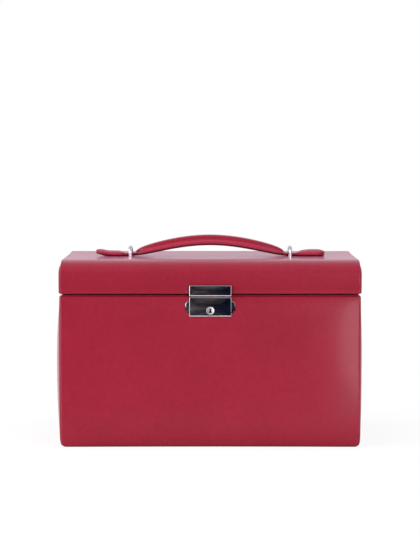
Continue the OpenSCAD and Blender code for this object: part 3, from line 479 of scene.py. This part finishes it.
def wrap_height(y):
    """Height of the lid's upper side."""
    t = y / sag_reach
    hollow = wrap_sag * (1 - min(1, t * t)) + back_drop * max(0, t)
    return wrap_top - hollow - brow(-y - wrap_front + brow_run) - nape(y - wrap_d + nape_run)


def wrap_line():
    """Points across the lid as (y, z), from the front rim over the top to the back edge."""
    points = []
    for k in range(7):
        turn = math.radians(270 - 15 * k)
        points.append((2 * lip_r - wrap_front + math.cos(turn), wrap_rim + lip_r + math.sin(turn)))
    tuck = 1.35
    flare = 0.35
    flare_run = 2.2
    rise = wrap_height(-wrap_front) - wrap_rim - lip_r
    for k in range(1, 16):
        t = k / 16
        y = -wrap_front + tuck * (1 - t) ** 2 - flare * (1 - ramp(t * rise / flare_run))
        points.append((y, wrap_rim + lip_r + rise * t))
    top_front = brow_run - wrap_front
    top_back = wrap_d - nape_run
    for k in range(33):
        y = top_front - brow_run * math.cos(math.pi / 2 * k / 33)
        points.append((y, wrap_height(y)))
    for k in range(1, 40):
        y = top_front + (top_back - top_front) * k / 40
        points.append((y, wrap_height(y)))
    for k in range(15):
        y = top_back + nape_run * math.sin(math.pi / 2 * k / 14)
        points.append((y, wrap_height(y)))
    shoulder = wrap_height(wrap_d)
    for k in range(1, 8):
        points.append((wrap_d, shoulder + (wrap_back + lip_r - shoulder) * k / 8))
    for k in range(7):
        turn = math.radians(-15 * k)
        points.append((wrap_d - lip_r + math.cos(turn), wrap_back + lip_r + math.sin(turn)))
    return points


line = wrap_line()
rows = len(line) - 1
end_r = 1.2
bm = bmesh.new()
bmesh.ops.create_grid(bm, x_segments=110, y_segments=rows, size=1)
for v in bm.verts:
    k = round((v.co.y + 1) / 2 * rows)
    y, z = line[k]
    before, after = line[max(0, k - 1)], line[min(rows, k + 1)]
    along = Vector((0, after[0] - before[0], after[1] - before[1])).normalized()
    inward = Vector((0, along.z, -along.y))
    x = crowd(v.co.x) * panel_w / 2
    from_end = panel_w / 2 - abs(x)
    sink = end_r * (1 - quarter(from_end, end_r))
    ripple = 0.12 * noise.noise(Vector((x / 45, y / 40, z / 30))) * quarter(from_end, 20)
    v.co = Vector((x, y, z)) + inward * (sink + ripple)
strike_low, strike_high = box_mm("strike_plate")
cut_window(bm, (-lock_w, -far, lid_low.z - far), (lock_w, 0, strike_high.z + 0.2))
bmesh.ops.recalc_face_normals(bm, faces=bm.faces)
wrap = set_down(bm, "lid_wrap_leather", red_leather, sharp=60)
hide = wrap.modifiers.new("thickness", "SOLIDIFY")
hide.thickness = 0.0018
hide.offset = -1
fit(wrap, "lid", "leather", "lid_wrap_cover")

low, high = box_mm("lid_left_cover")
side_front = wrap_front - 2.4
side_mid = (half_d - side_front) / 2
for side, turn, edge, crown in (("left", -90, 3.4, 2.0), ("right", 90, 3.0, 2.0)):
    front = math.copysign(1, turn)
    bm = leather_pad(half_d + side_front, high.z - low.z, edge, crown, (1.6, 1.6, 7.0), low_r=2.0,
                     fullness=(4, 3), cells=(88, 34),
                     brim=lambda a: wrap_height(front * a + side_mid) - low.z - 0.6)
    back_up(bm)
    turn_to(bm, turn, (math.copysign(half_w, turn), side_mid, low.z))
    lid_side = set_down(bm, "lid_" + side + "_leather", red_leather, sharp=60)
    fit(lid_side, "lid", "leather", "lid_" + side + "_cover")

# Turned edges: the leather is folded over the rims of the body and the lid and tucked behind the lining.
# The folds are shaved thin, coloured darker as painted shade in the seam, and open only along the hinge.
# A darker copy of the leather: painted shade in the seam between lid and body.
shaded_fold_leather = grained_leather("fold_shade_leather", {"IOR": 1.34}, (0.185, 0.0036, 0.0140),
                               (0.215, 0.0048, 0.0170), 0.62, 0.5, 1700.0)
hinge_x = box_mm("hinge_leaf_body")[1].x + 0.3


def rim_fold(z0, z1):
    """A flat ring of folded leather on a rim, from one height to another, with a gap for the hinge."""
    bm = bmesh.new()
    bmesh.ops.create_grid(bm, x_segments=1, y_segments=1, size=1)
    bmesh.ops.scale(bm, vec=(half_w + 0.6, half_d + 0.45, 1), verts=bm.verts)
    bmesh.ops.translate(bm, vec=(0, 0, z0), verts=bm.verts)
    room_x = 129.4
    room_y = 80.0
    cuts = [((x, 0, 0), (1, 0, 0)) for x in (-room_x, -hinge_x, hinge_x, room_x)]
    cuts += [((0, y, 0), (0, 1, 0)) for y in (-room_y, room_y)]
    for place, normal in cuts:
        everything = bm.verts[:] + bm.edges[:] + bm.faces[:]
        bmesh.ops.bisect_plane(bm, geom=everything, plane_co=place, plane_no=normal)
    inside = []
    for face in bm.faces:
        x, y = face.calc_center_median().xy
        if abs(x) < room_x and abs(y) < room_y or abs(x) < hinge_x and y > 0:
            inside.append(face)
    bmesh.ops.delete(bm, geom=inside, context="FACES")
    made = bmesh.ops.extrude_face_region(bm, geom=bm.faces[:])["geom"]
    upper = [g for g in made if isinstance(g, bmesh.types.BMVert)]
    bmesh.ops.translate(bm, vec=(0, 0, z1 - z0), verts=upper)
    bmesh.ops.recalc_face_normals(bm, faces=bm.faces)
    lips = [edge for edge in bm.edges if len(edge.link_faces) == 2 and edge.calc_face_angle() > 1]
    ease(bm, lips, 0.3)
    return bm


fold_low = 137.8
fold_high = 143.4
body_rim = box_mm("front_board")[1].z + 0.2
lid_rim = box_mm("lid_front_board")[0].z - 0.2
body_fold = set_down(rim_fold(fold_low, body_rim), "body_rim_fold", shaded_fold_leather)
fit(body_fold, "case_body", "leather")
lid_fold = set_down(rim_fold(lid_rim, fold_high), "lid_rim_fold", shaded_fold_leather)
fit(lid_fold, "lid", "leather")

# Linings and dividers: ivory velour on thin card. The linings are glued to the boards, and the dividers
# stand on the floor of the body as one egg-crate.


def velour_nap():
    """Short pile: a fine fuzz as a height, and soft strokes where it has been brushed."""
    group = bpy.data.node_groups.new("velour_nap", "ShaderNodeTree")
    group.interface.new_socket("Strokes", in_out="OUTPUT", socket_type="NodeSocketFloat")
    group.interface.new_socket("Height", in_out="OUTPUT", socket_type="NodeSocketFloat")
    place = wire(group, "ShaderNodeTexCoord").outputs["Object"]
    pile = wire(group, "ShaderNodeTexNoise", {"Vector": place, "Scale": 2600.0, "Detail": 4.0})
    lay = wire(group, "ShaderNodeMapping",
               {"Vector": place, "Rotation": (0.3, 0.5, 0.6), "Scale": (1.0, 2.6, 1.6)})
    brush = wire(group, "ShaderNodeTexNoise",
                 {"Vector": lay.outputs[0], "Scale": 26.0, "Detail": 5.0, "Roughness": 0.62,
                  "Distortion": 0.8})
    strokes = wire(group, "ShaderNodeMapRange",
                   {"Value": brush.outputs["Fac"], 1: 0.32, 2: 0.68, 3: 0.0, 4: 1.0})
    mixed = wire(group, "ShaderNodeMath", {0: pile.outputs["Fac"], 1: 0.22, 2: strokes.outputs[0]},
                 operation="MULTIPLY_ADD")
    wire(group, "NodeGroupOutput", {"Strokes": mixed.outputs[0], "Height": pile.outputs["Fac"]})
    return group


nap = velour_nap()
ivory_velour, tree, shader = principled("ivory_velour", {
    "Roughness": 0.9, "Sheen Weight": 0.5, "Sheen Roughness": 0.4, "Sheen Tint": (1.0, 0.96, 0.9, 1)})
pile = wire(tree, "ShaderNodeGroup", node_tree=nap)
tint = wire(tree, "ShaderNodeMix",
            {0: pile.outputs["Strokes"], 6: (0.56, 0.47, 0.35, 1), 7: (0.72, 0.63, 0.50, 1)},
            data_type="RGBA")
tree.links.new(tint.outputs[2], shader.inputs["Base Color"])
fuzz = wire(tree, "ShaderNodeBump", {"Strength": 0.35, "Distance": 0.0003, "Height": pile.outputs["Height"]})
tree.links.new(fuzz.outputs[0], shader.inputs["Normal"])
finish_nodes(ivory_velour, "body_lining", "lid_lining")


low, high = box_mm("bottom_dividers")
bay = (high.x - low.x) / 3
divider_half = 1.5
divider_r = 0.9
bm = bmesh.new()
ease(bm, add_board(bm, (low.x, -divider_half, low.z), (high.x, divider_half, high.z)), divider_r)
for x in (-bay / 2, bay / 2):
    cross_low = (x - divider_half, low.y, low.z)
    cross_high = (x + divider_half, high.y, high.z + 0.05)
    ease(bm, add_board(bm, cross_low, cross_high), divider_r)
dividers = set_down(bm, "bottom_divider_boards", ivory_velour)
fit(dividers, "case_body", "velour", "bottom_dividers")

# Mirror: a sheet of silvered glass in the lid, held by a velour covered frame that laps over its edge.
# The frame is mitred at its corners and glued to the lining.
mirror_silver, tree, shader = principled("mirror_silver", {"Metallic": 1.0})
place = wire(tree, "ShaderNodeTexCoord").outputs["Object"]
haze = wire(tree, "ShaderNodeTexNoise", {"Vector": place, "Scale": 40.0, "Detail": 4.0})
film = wire(tree, "ShaderNodeMapRange", {"Value": haze.outputs["Fac"], 1: 0.35, 2: 0.75, 3: 0.01, 4: 0.05})
tree.links.new(film.outputs[0], shader.inputs["Roughness"])
cool = wire(tree, "ShaderNodeMix",
            {0: haze.outputs["Fac"], 6: (0.86, 0.89, 0.89, 1), 7: (0.90, 0.92, 0.92, 1)}, data_type="RGBA")
tree.links.new(cool.outputs[2], shader.inputs["Base Color"])
finish_nodes(mirror_silver, "lid_mirror")

low, high = box_mm("mirror_frame")
glass_low, glass_high = box_mm("lid_mirror")
rim_w = high.x - glass_high.x
lip_w = 3
frame_w = rim_w + lip_w
profile = ((0, high.z), (0, low.z), (frame_w, low.z), (frame_w, glass_low.z), (rim_w, glass_low.z),
           (rim_w, high.z))
bm = bmesh.new()
rings = []
for inset, z in profile:
    x, y = high.x - inset, high.y - inset
    rings.append([bm.verts.new(corner) for corner in ((-x, -y, z), (x, -y, z), (x, y, z), (-x, y, z))])
for ring, after in zip(rings, rings[1:] + rings[:1]):
    for k in range(4):
        bm.faces.new((ring[k], ring[k - 3], after[k - 3], after[k]))
bmesh.ops.recalc_face_normals(bm, faces=bm.faces)
corners = [edge for edge in bm.edges if edge.calc_face_angle() > 1]
ease(bm, corners, 0.6)
bezel = set_down(bm, "mirror_frame_velour", ivory_velour)
fit(bezel, "lid", "velour", "mirror_frame")

# Hinge: a long nickel plated piano hinge along the rear seam. One leaf is screwed to the body's back board
# and one to the lid's, and both turn on one pin.


def metal_wear():
    """Handled metal: a fine directionless haze with a few longer rubs."""
    group = bpy.data.node_groups.new("metal_wear", "ShaderNodeTree")
    group.interface.new_socket("Haze", in_out="OUTPUT", socket_type="NodeSocketFloat")
    group.interface.new_socket("Height", in_out="OUTPUT", socket_type="NodeSocketFloat")
    place = wire(group, "ShaderNodeTexCoord").outputs["Object"]
    cloud = wire(group, "ShaderNodeTexNoise", {"Vector": place, "Scale": 90.0, "Detail": 4.0})
    turn = wire(group, "ShaderNodeMapping",
                {"Vector": place, "Rotation": (0.2, 0.4, 0.3), "Scale": (1.0, 9.0, 9.0)})
    rubs = wire(group, "ShaderNodeTexNoise", {"Vector": turn.outputs[0], "Scale": 240.0, "Detail": 3.0})
    haze = wire(group, "ShaderNodeMath", {0: cloud.outputs["Fac"], 1: rubs.outputs["Fac"]},
                operation="MULTIPLY")
    wave = wire(group, "ShaderNodeTexNoise", {"Vector": place, "Scale": 75.0, "Detail": 1.0})
    wire(group, "NodeGroupOutput", {"Haze": haze.outputs[0], "Height": wave.outputs["Fac"]})
    return group


wear = metal_wear()


def plated(name, dark, light, smooth, dull, ripple):
    """Plated metal between two colours and two roughnesses, with a ripple from pressing, in metres."""
    material, tree, shader = principled(name, {"Metallic": 1.0})
    wear_and_highlight = wire(tree, "ShaderNodeGroup", node_tree=wear)
    haze = wear_and_highlight.outputs["Haze"]
    tint = wire(tree, "ShaderNodeMix", {0: haze, 6: (*light, 1), 7: (*dark, 1)}, data_type="RGBA")
    tree.links.new(tint.outputs[2], shader.inputs["Base Color"])
    rough = wire(tree, "ShaderNodeMapRange", {"Value": haze, 1: 0.1, 2: 0.5, 3: smooth, 4: dull})
    tree.links.new(rough.outputs[0], shader.inputs["Roughness"])
    relief = wire(tree, "ShaderNodeBump",
                  {"Strength": 1.0, "Distance": ripple, "Height": wear_and_highlight.outputs["Height"]})
    tree.links.new(relief.outputs[0], shader.inputs["Normal"])
    return material


nickel = plated("nickel_plate", (0.50, 0.47, 0.43), (0.62, 0.60, 0.56), 0.22, 0.4, 0.00005)
finish_nodes(nickel, "hinge_leaf_body", "hinge_leaf_lid", "hinge_pin", "hinge_screws_body",
             "hinge_screws_lid")

# Lock: a pressed chrome housing on the front of the body, with a release button at each side and a key
# cylinder low in the middle. Its back plate is riveted through the front board.
chrome = plated("chrome_plate", (0.46, 0.46, 0.48), (0.64, 0.63, 0.65), 0.02, 0.07, 0.00010)
finish_nodes(nickel, "lock_back_plate", "lock_rivets", "button_springs", "plug_cam")


def plate_shell(low, high):
    """A pressed plate that faces the front: open behind, with a chamfer that is wider at the sill,
    and a full field."""
    chamfer = 0.25
    sill = 0.4
    groove_w = 0.12
    groove_d = 0.1
    field_edge = 0.55
    fullness = 0.03
    bm = bmesh.new()
    add_board(bm, low, high)
    behind = [face for face in bm.faces if face.normal.y > 0.5]
    bmesh.ops.delete(bm, geom=behind, context="FACES")
    front = [edge for edge in bm.edges if all(abs(v.co.y - low[1]) < 1e-4 for v in edge.verts)]
    ease(bm, front, chamfer, segments=1)
    lower = [v for v in bm.verts if v.co.z < low[2] + 0.5 and v.co.y < low[1] + 0.1]
    bmesh.ops.translate(bm, vec=(0, 0, sill), verts=lower)
    field = [face for face in bm.faces if face.normal.y < -0.99]
    bmesh.ops.inset_region(bm, faces=field, thickness=groove_w, depth=-groove_d)
    field = [face for face in bm.faces if face.normal.y < -0.99 and face.calc_area() > 40]
    rim = list(dict.fromkeys(edge for face in field for edge in face.edges))
    bmesh.ops.subdivide_edges(bm, edges=rim, cuts=15, use_grid_fill=True)
    mid = (Vector(low) + Vector(high)) / 2
    half = (Vector(high) - Vector(low)) / 2
    for v in bm.verts:
        across = (v.co.x - mid.x) / (half.x - field_edge)
        up = (v.co.z - mid.z) / (half.z - field_edge)
        if v.co.y < low[1] + 0.2 and abs(across) < 0.995 and abs(up) < 0.995:
            v.co.y -= fullness * half.z * (1 - across ** 2) * (1 - up ** 2)
    return bm


tongue_x = 11.5
tongue_half = 2.0
slot_half = tongue_half + 0.2
slot_y0 = -89.4
slot_y1 = -87.2
bm = plate_shell(lock_low, lock_high)
for side in (-1, 1):
    x0, x1 = sorted((side * (lock_high.x - 2), side * (lock_high.x + 2)))
    cut_window(bm, (x0, ear_low.y - 0.2, ear_z0), (x1, ear_high.y + 0.2, ear_z1),
               lambda face: abs(face.normal.x) > 0.99)
    x0, x1 = side * tongue_x - slot_half, side * tongue_x + slot_half
    cut_window(bm, (x0, slot_y0, lock_high.z - 1), (x1, slot_y1, lock_high.z + 1),
               lambda face: face.normal.z > 0.99)
bmesh.ops.recalc_face_normals(bm, faces=bm.faces)
housing = set_down(bm, "lock_housing_shell", chrome, sharp=25)
sheet = housing.modifiers.new("thickness", "SOLIDIFY")
sheet.thickness = 0.0011
sheet.offset = -1
fit(housing, "case_body", "chrome", "lock_housing")

slide_x = 7.0
for name, side in (("button_left", -1), ("button_right", 1)):
    low, high = box_mm(name)
    reach = max(abs(low.x), abs(high.x))
    bm = bmesh.new()
    add_board(bm, (slide_x, low.y, ear_mid - ear_half), (reach, high.y, ear_mid + ear_half))
    tips = [edge for edge in bm.edges if all(v.co.x > reach - 0.1 for v in edge.verts)
            and abs(edge.verts[0].co.y - edge.verts[1].co.y) > 1]
    ease(bm, tips, 2.6, segments=4)
    face = [edge for edge in bm.edges if all(abs(v.co.y - low.y) < 1e-4 for v in edge.verts)
            and not all(v.co.x < slide_x + 0.1 for v in edge.verts)]
    ease(bm, face, 0.3, segments=1)
    if side < 0:
        bmesh.ops.scale(bm, vec=(-1, 1, 1), verts=bm.verts)
        bmesh.ops.reverse_faces(bm, faces=bm.faces)
    button = set_down(bm, name + "_slide", chrome, sharp=25)
    fit(button, name, "chrome", name)

# Key cylinder: a turned and satin polished plug with a raised head and a keyhole cut into it.
# It turns in the housing and carries a cam behind it.
satin = plated("satin_plate", (0.40, 0.39, 0.38), (0.56, 0.56, 0.56), 0.28, 0.44, 0.00004)
low, high = box_mm("lock_plug")
key_z = (low.z + high.z) / 2
head_r = (high.z - low.z) / 2
head_t = 0.75
hole_d = 0.7
hole_r = 1.05
hole_turn = 0.35
waist_z = 0.7
bm = bmesh.new()
count = 48
rim = bmesh.ops.create_circle(bm, segments=count, radius=head_r, cap_ends=False)["verts"]
hole = bmesh.ops.create_circle(bm, segments=count, radius=1.0, cap_ends=False)["verts"]
for v in hole:
    turn = math.atan2(v.co.y, v.co.x)
    across, up = math.cos(turn), math.sin(turn)
    if up > -hole_turn:
        v.co.x = hole_r * across
        v.co.y = hole_r + hole_r * up
    else:
        spread = 0.6 + 1.7 * max(0, -up - hole_turn)
        v.co.x = spread * max(-1, min(1, across * 2))
        v.co.y = waist_z + 4.2 * (up + hole_turn)
rim_edges = [edge for edge in bm.edges if edge.verts[0] in rim]
hole_edges = [edge for edge in bm.edges if edge.verts[0] in hole]
bmesh.ops.bridge_loops(bm, edges=rim_edges + hole_edges)
made = bmesh.ops.extrude_edge_only(bm, edges=rim_edges)["geom"]
bmesh.ops.translate(bm, vec=(0, 0, -head_t), verts=[g for g in made if isinstance(g, bmesh.types.BMVert)])
made = bmesh.ops.extrude_edge_only(bm, edges=hole_edges)["geom"]
bmesh.ops.translate(bm, vec=(0, 0, -hole_d), verts=[g for g in made if isinstance(g, bmesh.types.BMVert)])
bmesh.ops.holes_fill(bm, edges=[edge for edge in bm.edges if edge.is_boundary], sides=0)
bmesh.ops.recalc_face_normals(bm, faces=bm.faces)
lip = [edge for edge in bm.edges if all(v in rim for v in edge.verts)]
ease(bm, lip, 0.35, segments=3)
to_front = Matrix.Rotation(math.radians(90), 3, "X")
bmesh.ops.rotate(bm, cent=(0, 0, 0), matrix=to_front, verts=bm.verts)
bmesh.ops.translate(bm, vec=(0, low.y, key_z), verts=bm.verts)
keyway, tree, shader = principled("keyway_shadow", {"Metallic": 1.0, "Roughness": 0.6})
place = wire(tree, "ShaderNodeTexCoord").outputs["Object"]
soot = wire(tree, "ShaderNodeTexNoise", {"Vector": place, "Scale": 900.0, "Detail": 3.0})
tint = wire(tree, "ShaderNodeMix",
            {0: soot.outputs["Fac"], 6: (0.012, 0.01, 0.01, 1), 7: (0.05, 0.042, 0.036, 1)},
            data_type="RGBA")
tree.links.new(tint.outputs[2], shader.inputs["Base Color"])
plug = set_down(bm, "key_cylinder", satin, keyway, sharp=35)
for face in plug.data.polygons:
    x, y, z = face.center * 1000
    if math.hypot(x, z - key_z) < 2.2 and y > low.y + 0.2:
        face.material_index = 1
fit(plug, "lock_plug", "chrome", "lock_plug")

# Strike plate: the lid's half of the lock, pressed from the same chrome sheet and riveted to the lid's
# front board. Two tongues below it drop into the housing.
plate_foot = 139.7
tongue_low = Vector((-tongue_half, -88.8, strike_low.z))
tongue_high = Vector((tongue_half, -87.3, 141))
bm = plate_shell((strike_low.x, strike_low.y, plate_foot), strike_high)
for x in (-tongue_x, tongue_x):
    add_board(bm, tongue_low + Vector((x, 0, 0)), tongue_high + Vector((x, 0, 0)))
bmesh.ops.recalc_face_normals(bm, faces=bm.faces)
strike = set_down(bm, "strike_plate_shell", chrome, sharp=25)
fit(strike, "lid", "chrome", "strike_plate")
finish_nodes(nickel, "strike_rivets", "staple_washers")

# Staples: two loops of bent chrome wire that hold the necks of the handle.
# Their legs pass through the lid's top board and are riveted over washers inside.
finish_nodes(chrome, "staple_left", "staple_right")

# Handle: a strap of folded leather that lies through both staples and arches between them.
# Its grip is stuffed and covered with a second skin that is turned in along the strap's edges.
strap_low, strap_high = box_mm("handle_strap")
wrap_low, wrap_high = box_mm("handle_wrap")
staple_x = box_mm("staple_right")[0].x + 1.85
grip_x = -0.4
strap_t = 3.6
rest_z = strap_low.z
arch_h = wrap_high.z - rest_z - strap_t - 7.0
arch_power = 1.33
tip_r = 9
neck_half = 6.5
tab_half = 9.0
grip_half = 10.5
neck_run = 3.7


def under(x):
    """Height of the strap's underside."""
    d = abs(x - grip_x) / (staple_x - grip_x)
    return rest_z + (arch_h * math.cos(math.pi / 2 * d) ** arch_power if d < 1 else 0)


def strap_half(x):
    """Half width of the strap: tongue ends, narrow necks and a wide grip."""
    end = min(x - strap_low.x, strap_high.x - x)
    tip = math.sqrt(max(0.0, 1 - (1 - min(1, end / tip_r)) ** 2))
    off = abs(x) - staple_x
    to_tab = (tab_half - neck_half) * ramp((off - neck_run) / 7)
    to_grip = (grip_half - neck_half) * ramp((-off - neck_run) / 12)
    return tip * (neck_half + to_tab + to_grip)


def lofted(along, around, section):
    """A closed tube: section(s, turn) gives the point at s from -1 to 1 along it, at an angle round it."""
    bm = bmesh.new()
    bmesh.ops.create_grid(bm, x_segments=along, y_segments=around, size=1)
    for v in bm.verts:
        v.co = section(v.co.x, math.pi * v.co.y)
    bmesh.ops.remove_doubles(bm, verts=bm.verts, dist=0.002)
    bmesh.ops.holes_fill(bm, edges=[edge for edge in bm.edges if edge.is_boundary], sides=0)
    bmesh.ops.recalc_face_normals(bm, faces=bm.faces)
    return bm


def strap_point(s, turn):
    """A band with round edges, plump at its tongue ends. The left tip curls up a little."""
    x = (strap_low.x + strap_high.x) / 2 + crowd(s) * (strap_high.x - strap_low.x) / 2
    half = strap_half(x)
    tip = min(1, 0.45 + half / 16)
    off = abs(x) - staple_x
    plump = 1.9 * ramp((off - 3) / 9)
    if x > 0:
        plump += 1.2 * ramp((off - 6) / 14)
    y = half * math.copysign(abs(math.cos(turn)) ** 0.14, math.cos(turn))
    z = strap_t / 2 * tip * math.copysign(abs(math.sin(turn)) ** 0.9, math.sin(turn))
    if z > 0:
        z *= 1 + plump / strap_t * 2 * (1 - (y / tab_half) ** 2)
    curl = 2.0 * ramp((-x - staple_x - 14) / 18) ** 2
    return Vector((x, y, under(x) + strap_t / 2 + z + curl))


# Much darker leather for the strap's faces that turn down: painted shade under the strap.
strap_underside_shade = grained_leather("strap_underside_shade_leather", {"IOR": 1.3}, (0.070, 0.0022, 0.0080),
                               (0.100, 0.0032, 0.0120), 0.7, 0.58, 1700.0)
# The lighter colour at the end is a painted highlight for the up-facing edges of the strap and grip.
strap_leather = grained_leather("strap_leather", leather_gloss, leather_dark, leather_light, 0.55, 0.44,
                                1500.0, painted_highlight=(0.36, 0.027, 0.060))


def paint_edge_highlight(piece, share):
    """Marks how strong a painted highlight is at each point of a piece, from the direction it faces and its
    place.
    """
    highlight_share = piece.data.attributes.new("painted_highlight", "FLOAT", "POINT")
    for v in piece.data.vertices:
        highlight_share.data[v.index].value = max(0.0, min(1.0, share(v.normal, v.co * 1000)))


bm = lofted(180, 64, strap_point)
strap = set_down(bm, "handle_strap_leather", strap_leather, strap_underside_shade, sharp=80)
# Faces that turn down take the darker leather as painted shade.
for face in strap.data.polygons:
    if face.normal.z < -0.05:
        face.material_index = 1
# Painted highlight where the strap faces up and to the front or back.
paint_edge_highlight(strap, lambda facing, place: 1.6 * facing.z * abs(facing.y))
fit(strap, "handle", "leather", "handle_strap")

grip_reach = (wrap_high.x - wrap_low.x) / 2 + 1.6
grip_rise = 6.2
skirt_rise = 2.4
skirt_w = 0.17
body_w = 0.88


def grip_point(s, turn):
    """The stuffed skin over the strap: flat below, full above, and drawn down at both ends."""
    t = crowd(s)
    x = grip_x + t * grip_reach
    full = math.sqrt(max(0.0, 1 - abs(t) ** 5))
    half = (strap_half(x) - 0.5) * max(0.12, full ** 0.5)
    rise = grip_rise * max(0.04, full)
    across = math.copysign(abs(math.cos(turn)) ** 0.6, math.cos(turn))
    body = rise * (1 - min(1, abs(across) / body_w) ** 6) ** 0.42
    skirt = min(1, rise / 4) * skirt_rise * min(1, (1 - abs(across)) / skirt_w) ** 1.2
    z = max(body, skirt) if math.sin(turn) > 0 else -0.2
    return Vector((x, half * across, under(x) + strap_t + z))


def skirt_highlight(facing, place):
    """How strong the painted highlight is at a point of the grip: only the skirt gets it, below the stuffed
    body.
    """
    up = place.z - under(place.x) - strap_t
    return 1.6 * facing.z * abs(facing.y) * (1 - ramp((up - 1.6) / 1.2))


grip = set_down(lofted(150, 80, grip_point), "handle_grip_leather", strap_leather, sharp=80)
# Painted highlight on the grip's skirt, below the stuffed body.
paint_edge_highlight(grip, skirt_highlight)
fit(grip, "handle", "leather", "handle_wrap", "handle_core")

# Tray: five thin boards covered with the same velour, with dividers for six compartments. It hangs from
# the lid by two brackets, and two arms keep it level.
for name in ("tray_floor", "tray_front_wall", "tray_back_wall", "tray_left_wall", "tray_right_wall"):
    low, high = box_mm(name)
    bm = bmesh.new()
    ease(bm, add_board(bm, low, high), 1.2)
    board = set_down(bm, name + "_velour", ivory_velour)
    fit(board, "tray", "velour", name)

low, high = box_mm("tray_dividers")
mid = (low.x + 2 * divider_half + high.x) / 2
bm = bmesh.new()
ease(bm, add_board(bm, low, (low.x + 2 * divider_half, high.y, high.z)), divider_r)
middle_low = (mid - divider_half, low.y, low.z)
middle_high = (mid + divider_half, high.y, high.z - 0.05)
ease(bm, add_board(bm, middle_low, middle_high), divider_r)
for k in (1, 2):
    y = low.y + (high.y - low.y) * k / 3
    cross_low = (low.x, y - divider_half, low.z)
    cross_high = (high.x, y + divider_half, high.z - 0.1)
    ease(bm, add_board(bm, cross_low, cross_high), divider_r)
cells = set_down(bm, "tray_divider_boards", ivory_velour)
fit(cells, "tray", "velour", "tray_dividers")

# Ring rolls: eight soft rolls of velour over foam, side by side on a foam block. Rings sit between them.
# Each skin is blown up from a slimmer roll, so that it is round and tight and dimples at its ends.


def blow_up(piece, held, most):
    """Fills a closed skin by a short cloth simulation. No point moves further than most, in metres."""
    group = piece.vertex_groups.new(name="held")
    group.add(held, 1.0, "REPLACE")
    cloth = piece.modifiers.new("filling", "CLOTH")
    cloth.settings.quality = 6
    cloth.settings.use_pressure = True
    cloth.settings.uniform_pressure_force = 4
    cloth.settings.vertex_group_mass = "held"
    cloth.settings.effector_weights.gravity = 0
    cloth.point_cache.frame_start = 1
    cloth.point_cache.frame_end = 20
    for step in range(1, cloth.point_cache.frame_end + 1):
        scene.frame_set(step)
    filled = piece.evaluated_get(bpy.context.evaluated_depsgraph_get())
    places = [v.co.copy() for v in filled.to_mesh().vertices]
    filled.to_mesh_clear()
    piece.modifiers.remove(cloth)
    for v, place in zip(piece.data.vertices, places):
        move = place - v.co
        v.co += move * min(1, most / max(move.length, 1e-9))
    scene.frame_set(1)


low, high = box_mm("ring_rolls")
rolls = 8
pitch = (high.y - low.y) / rolls
axis_z = high.z - pitch / 2
block_z = axis_z - 3
slack = 0.9
slim_r = pitch / 2 - slack
lengthwise = Matrix.Rotation(math.radians(90), 3, "Y")
bm = bmesh.new()
ease(bm, add_board(bm, low, (high.x, high.y, block_z)), 1.0)
for k in range(rolls):
    made = bmesh.ops.create_cone(bm, segments=24, radius1=slim_r, radius2=slim_r, depth=high.x - low.x - 3,
                                 cap_ends=True)["verts"]
    bmesh.ops.rotate(bm, cent=(0, 0, 0), matrix=lengthwise, verts=made)
    bmesh.ops.translate(bm, vec=((low.x + high.x) / 2, low.y + (k + 0.5) * pitch, axis_z), verts=made)
    edges = dict.fromkeys(edge for v in made for edge in v.link_edges)
    long = [edge for edge in edges if abs(edge.verts[0].co.x - edge.verts[1].co.x) > 10]
    caps = dict.fromkeys(face for v in made for face in v.link_faces if abs(face.normal.x) > 0.9)
    for face in caps:
        bmesh.ops.inset_region(bm, faces=[face], thickness=2.0, depth=0.8)
        bmesh.ops.inset_region(bm, faces=[face], thickness=2.4, depth=0.3)
        bmesh.ops.poke(bm, faces=[face])
    bmesh.ops.subdivide_edges(bm, edges=long, cuts=30, use_grid_fill=False)
rolls_piece = set_down(bm, "ring_roll_cushions", ivory_velour, sharp=70)
block = [v.index for v in rolls_piece.data.vertices if v.co.z * 1000 < block_z + 0.1]
blow_up(rolls_piece, block, slack * 0.001)
fit(rolls_piece, "tray", "velour", "ring_rolls")

# Tray links: flat strips of nickel plated steel that turn on shouldered pins.
# The brackets are riveted to the lid's sides, and the arms to the body's.
finish_nodes(nickel, "tray_bracket_left", "tray_bracket_right", "bracket_rivets", "bracket_pivots",
             "arm_pivots", "arm_left", "arm_right", "tray_pins")
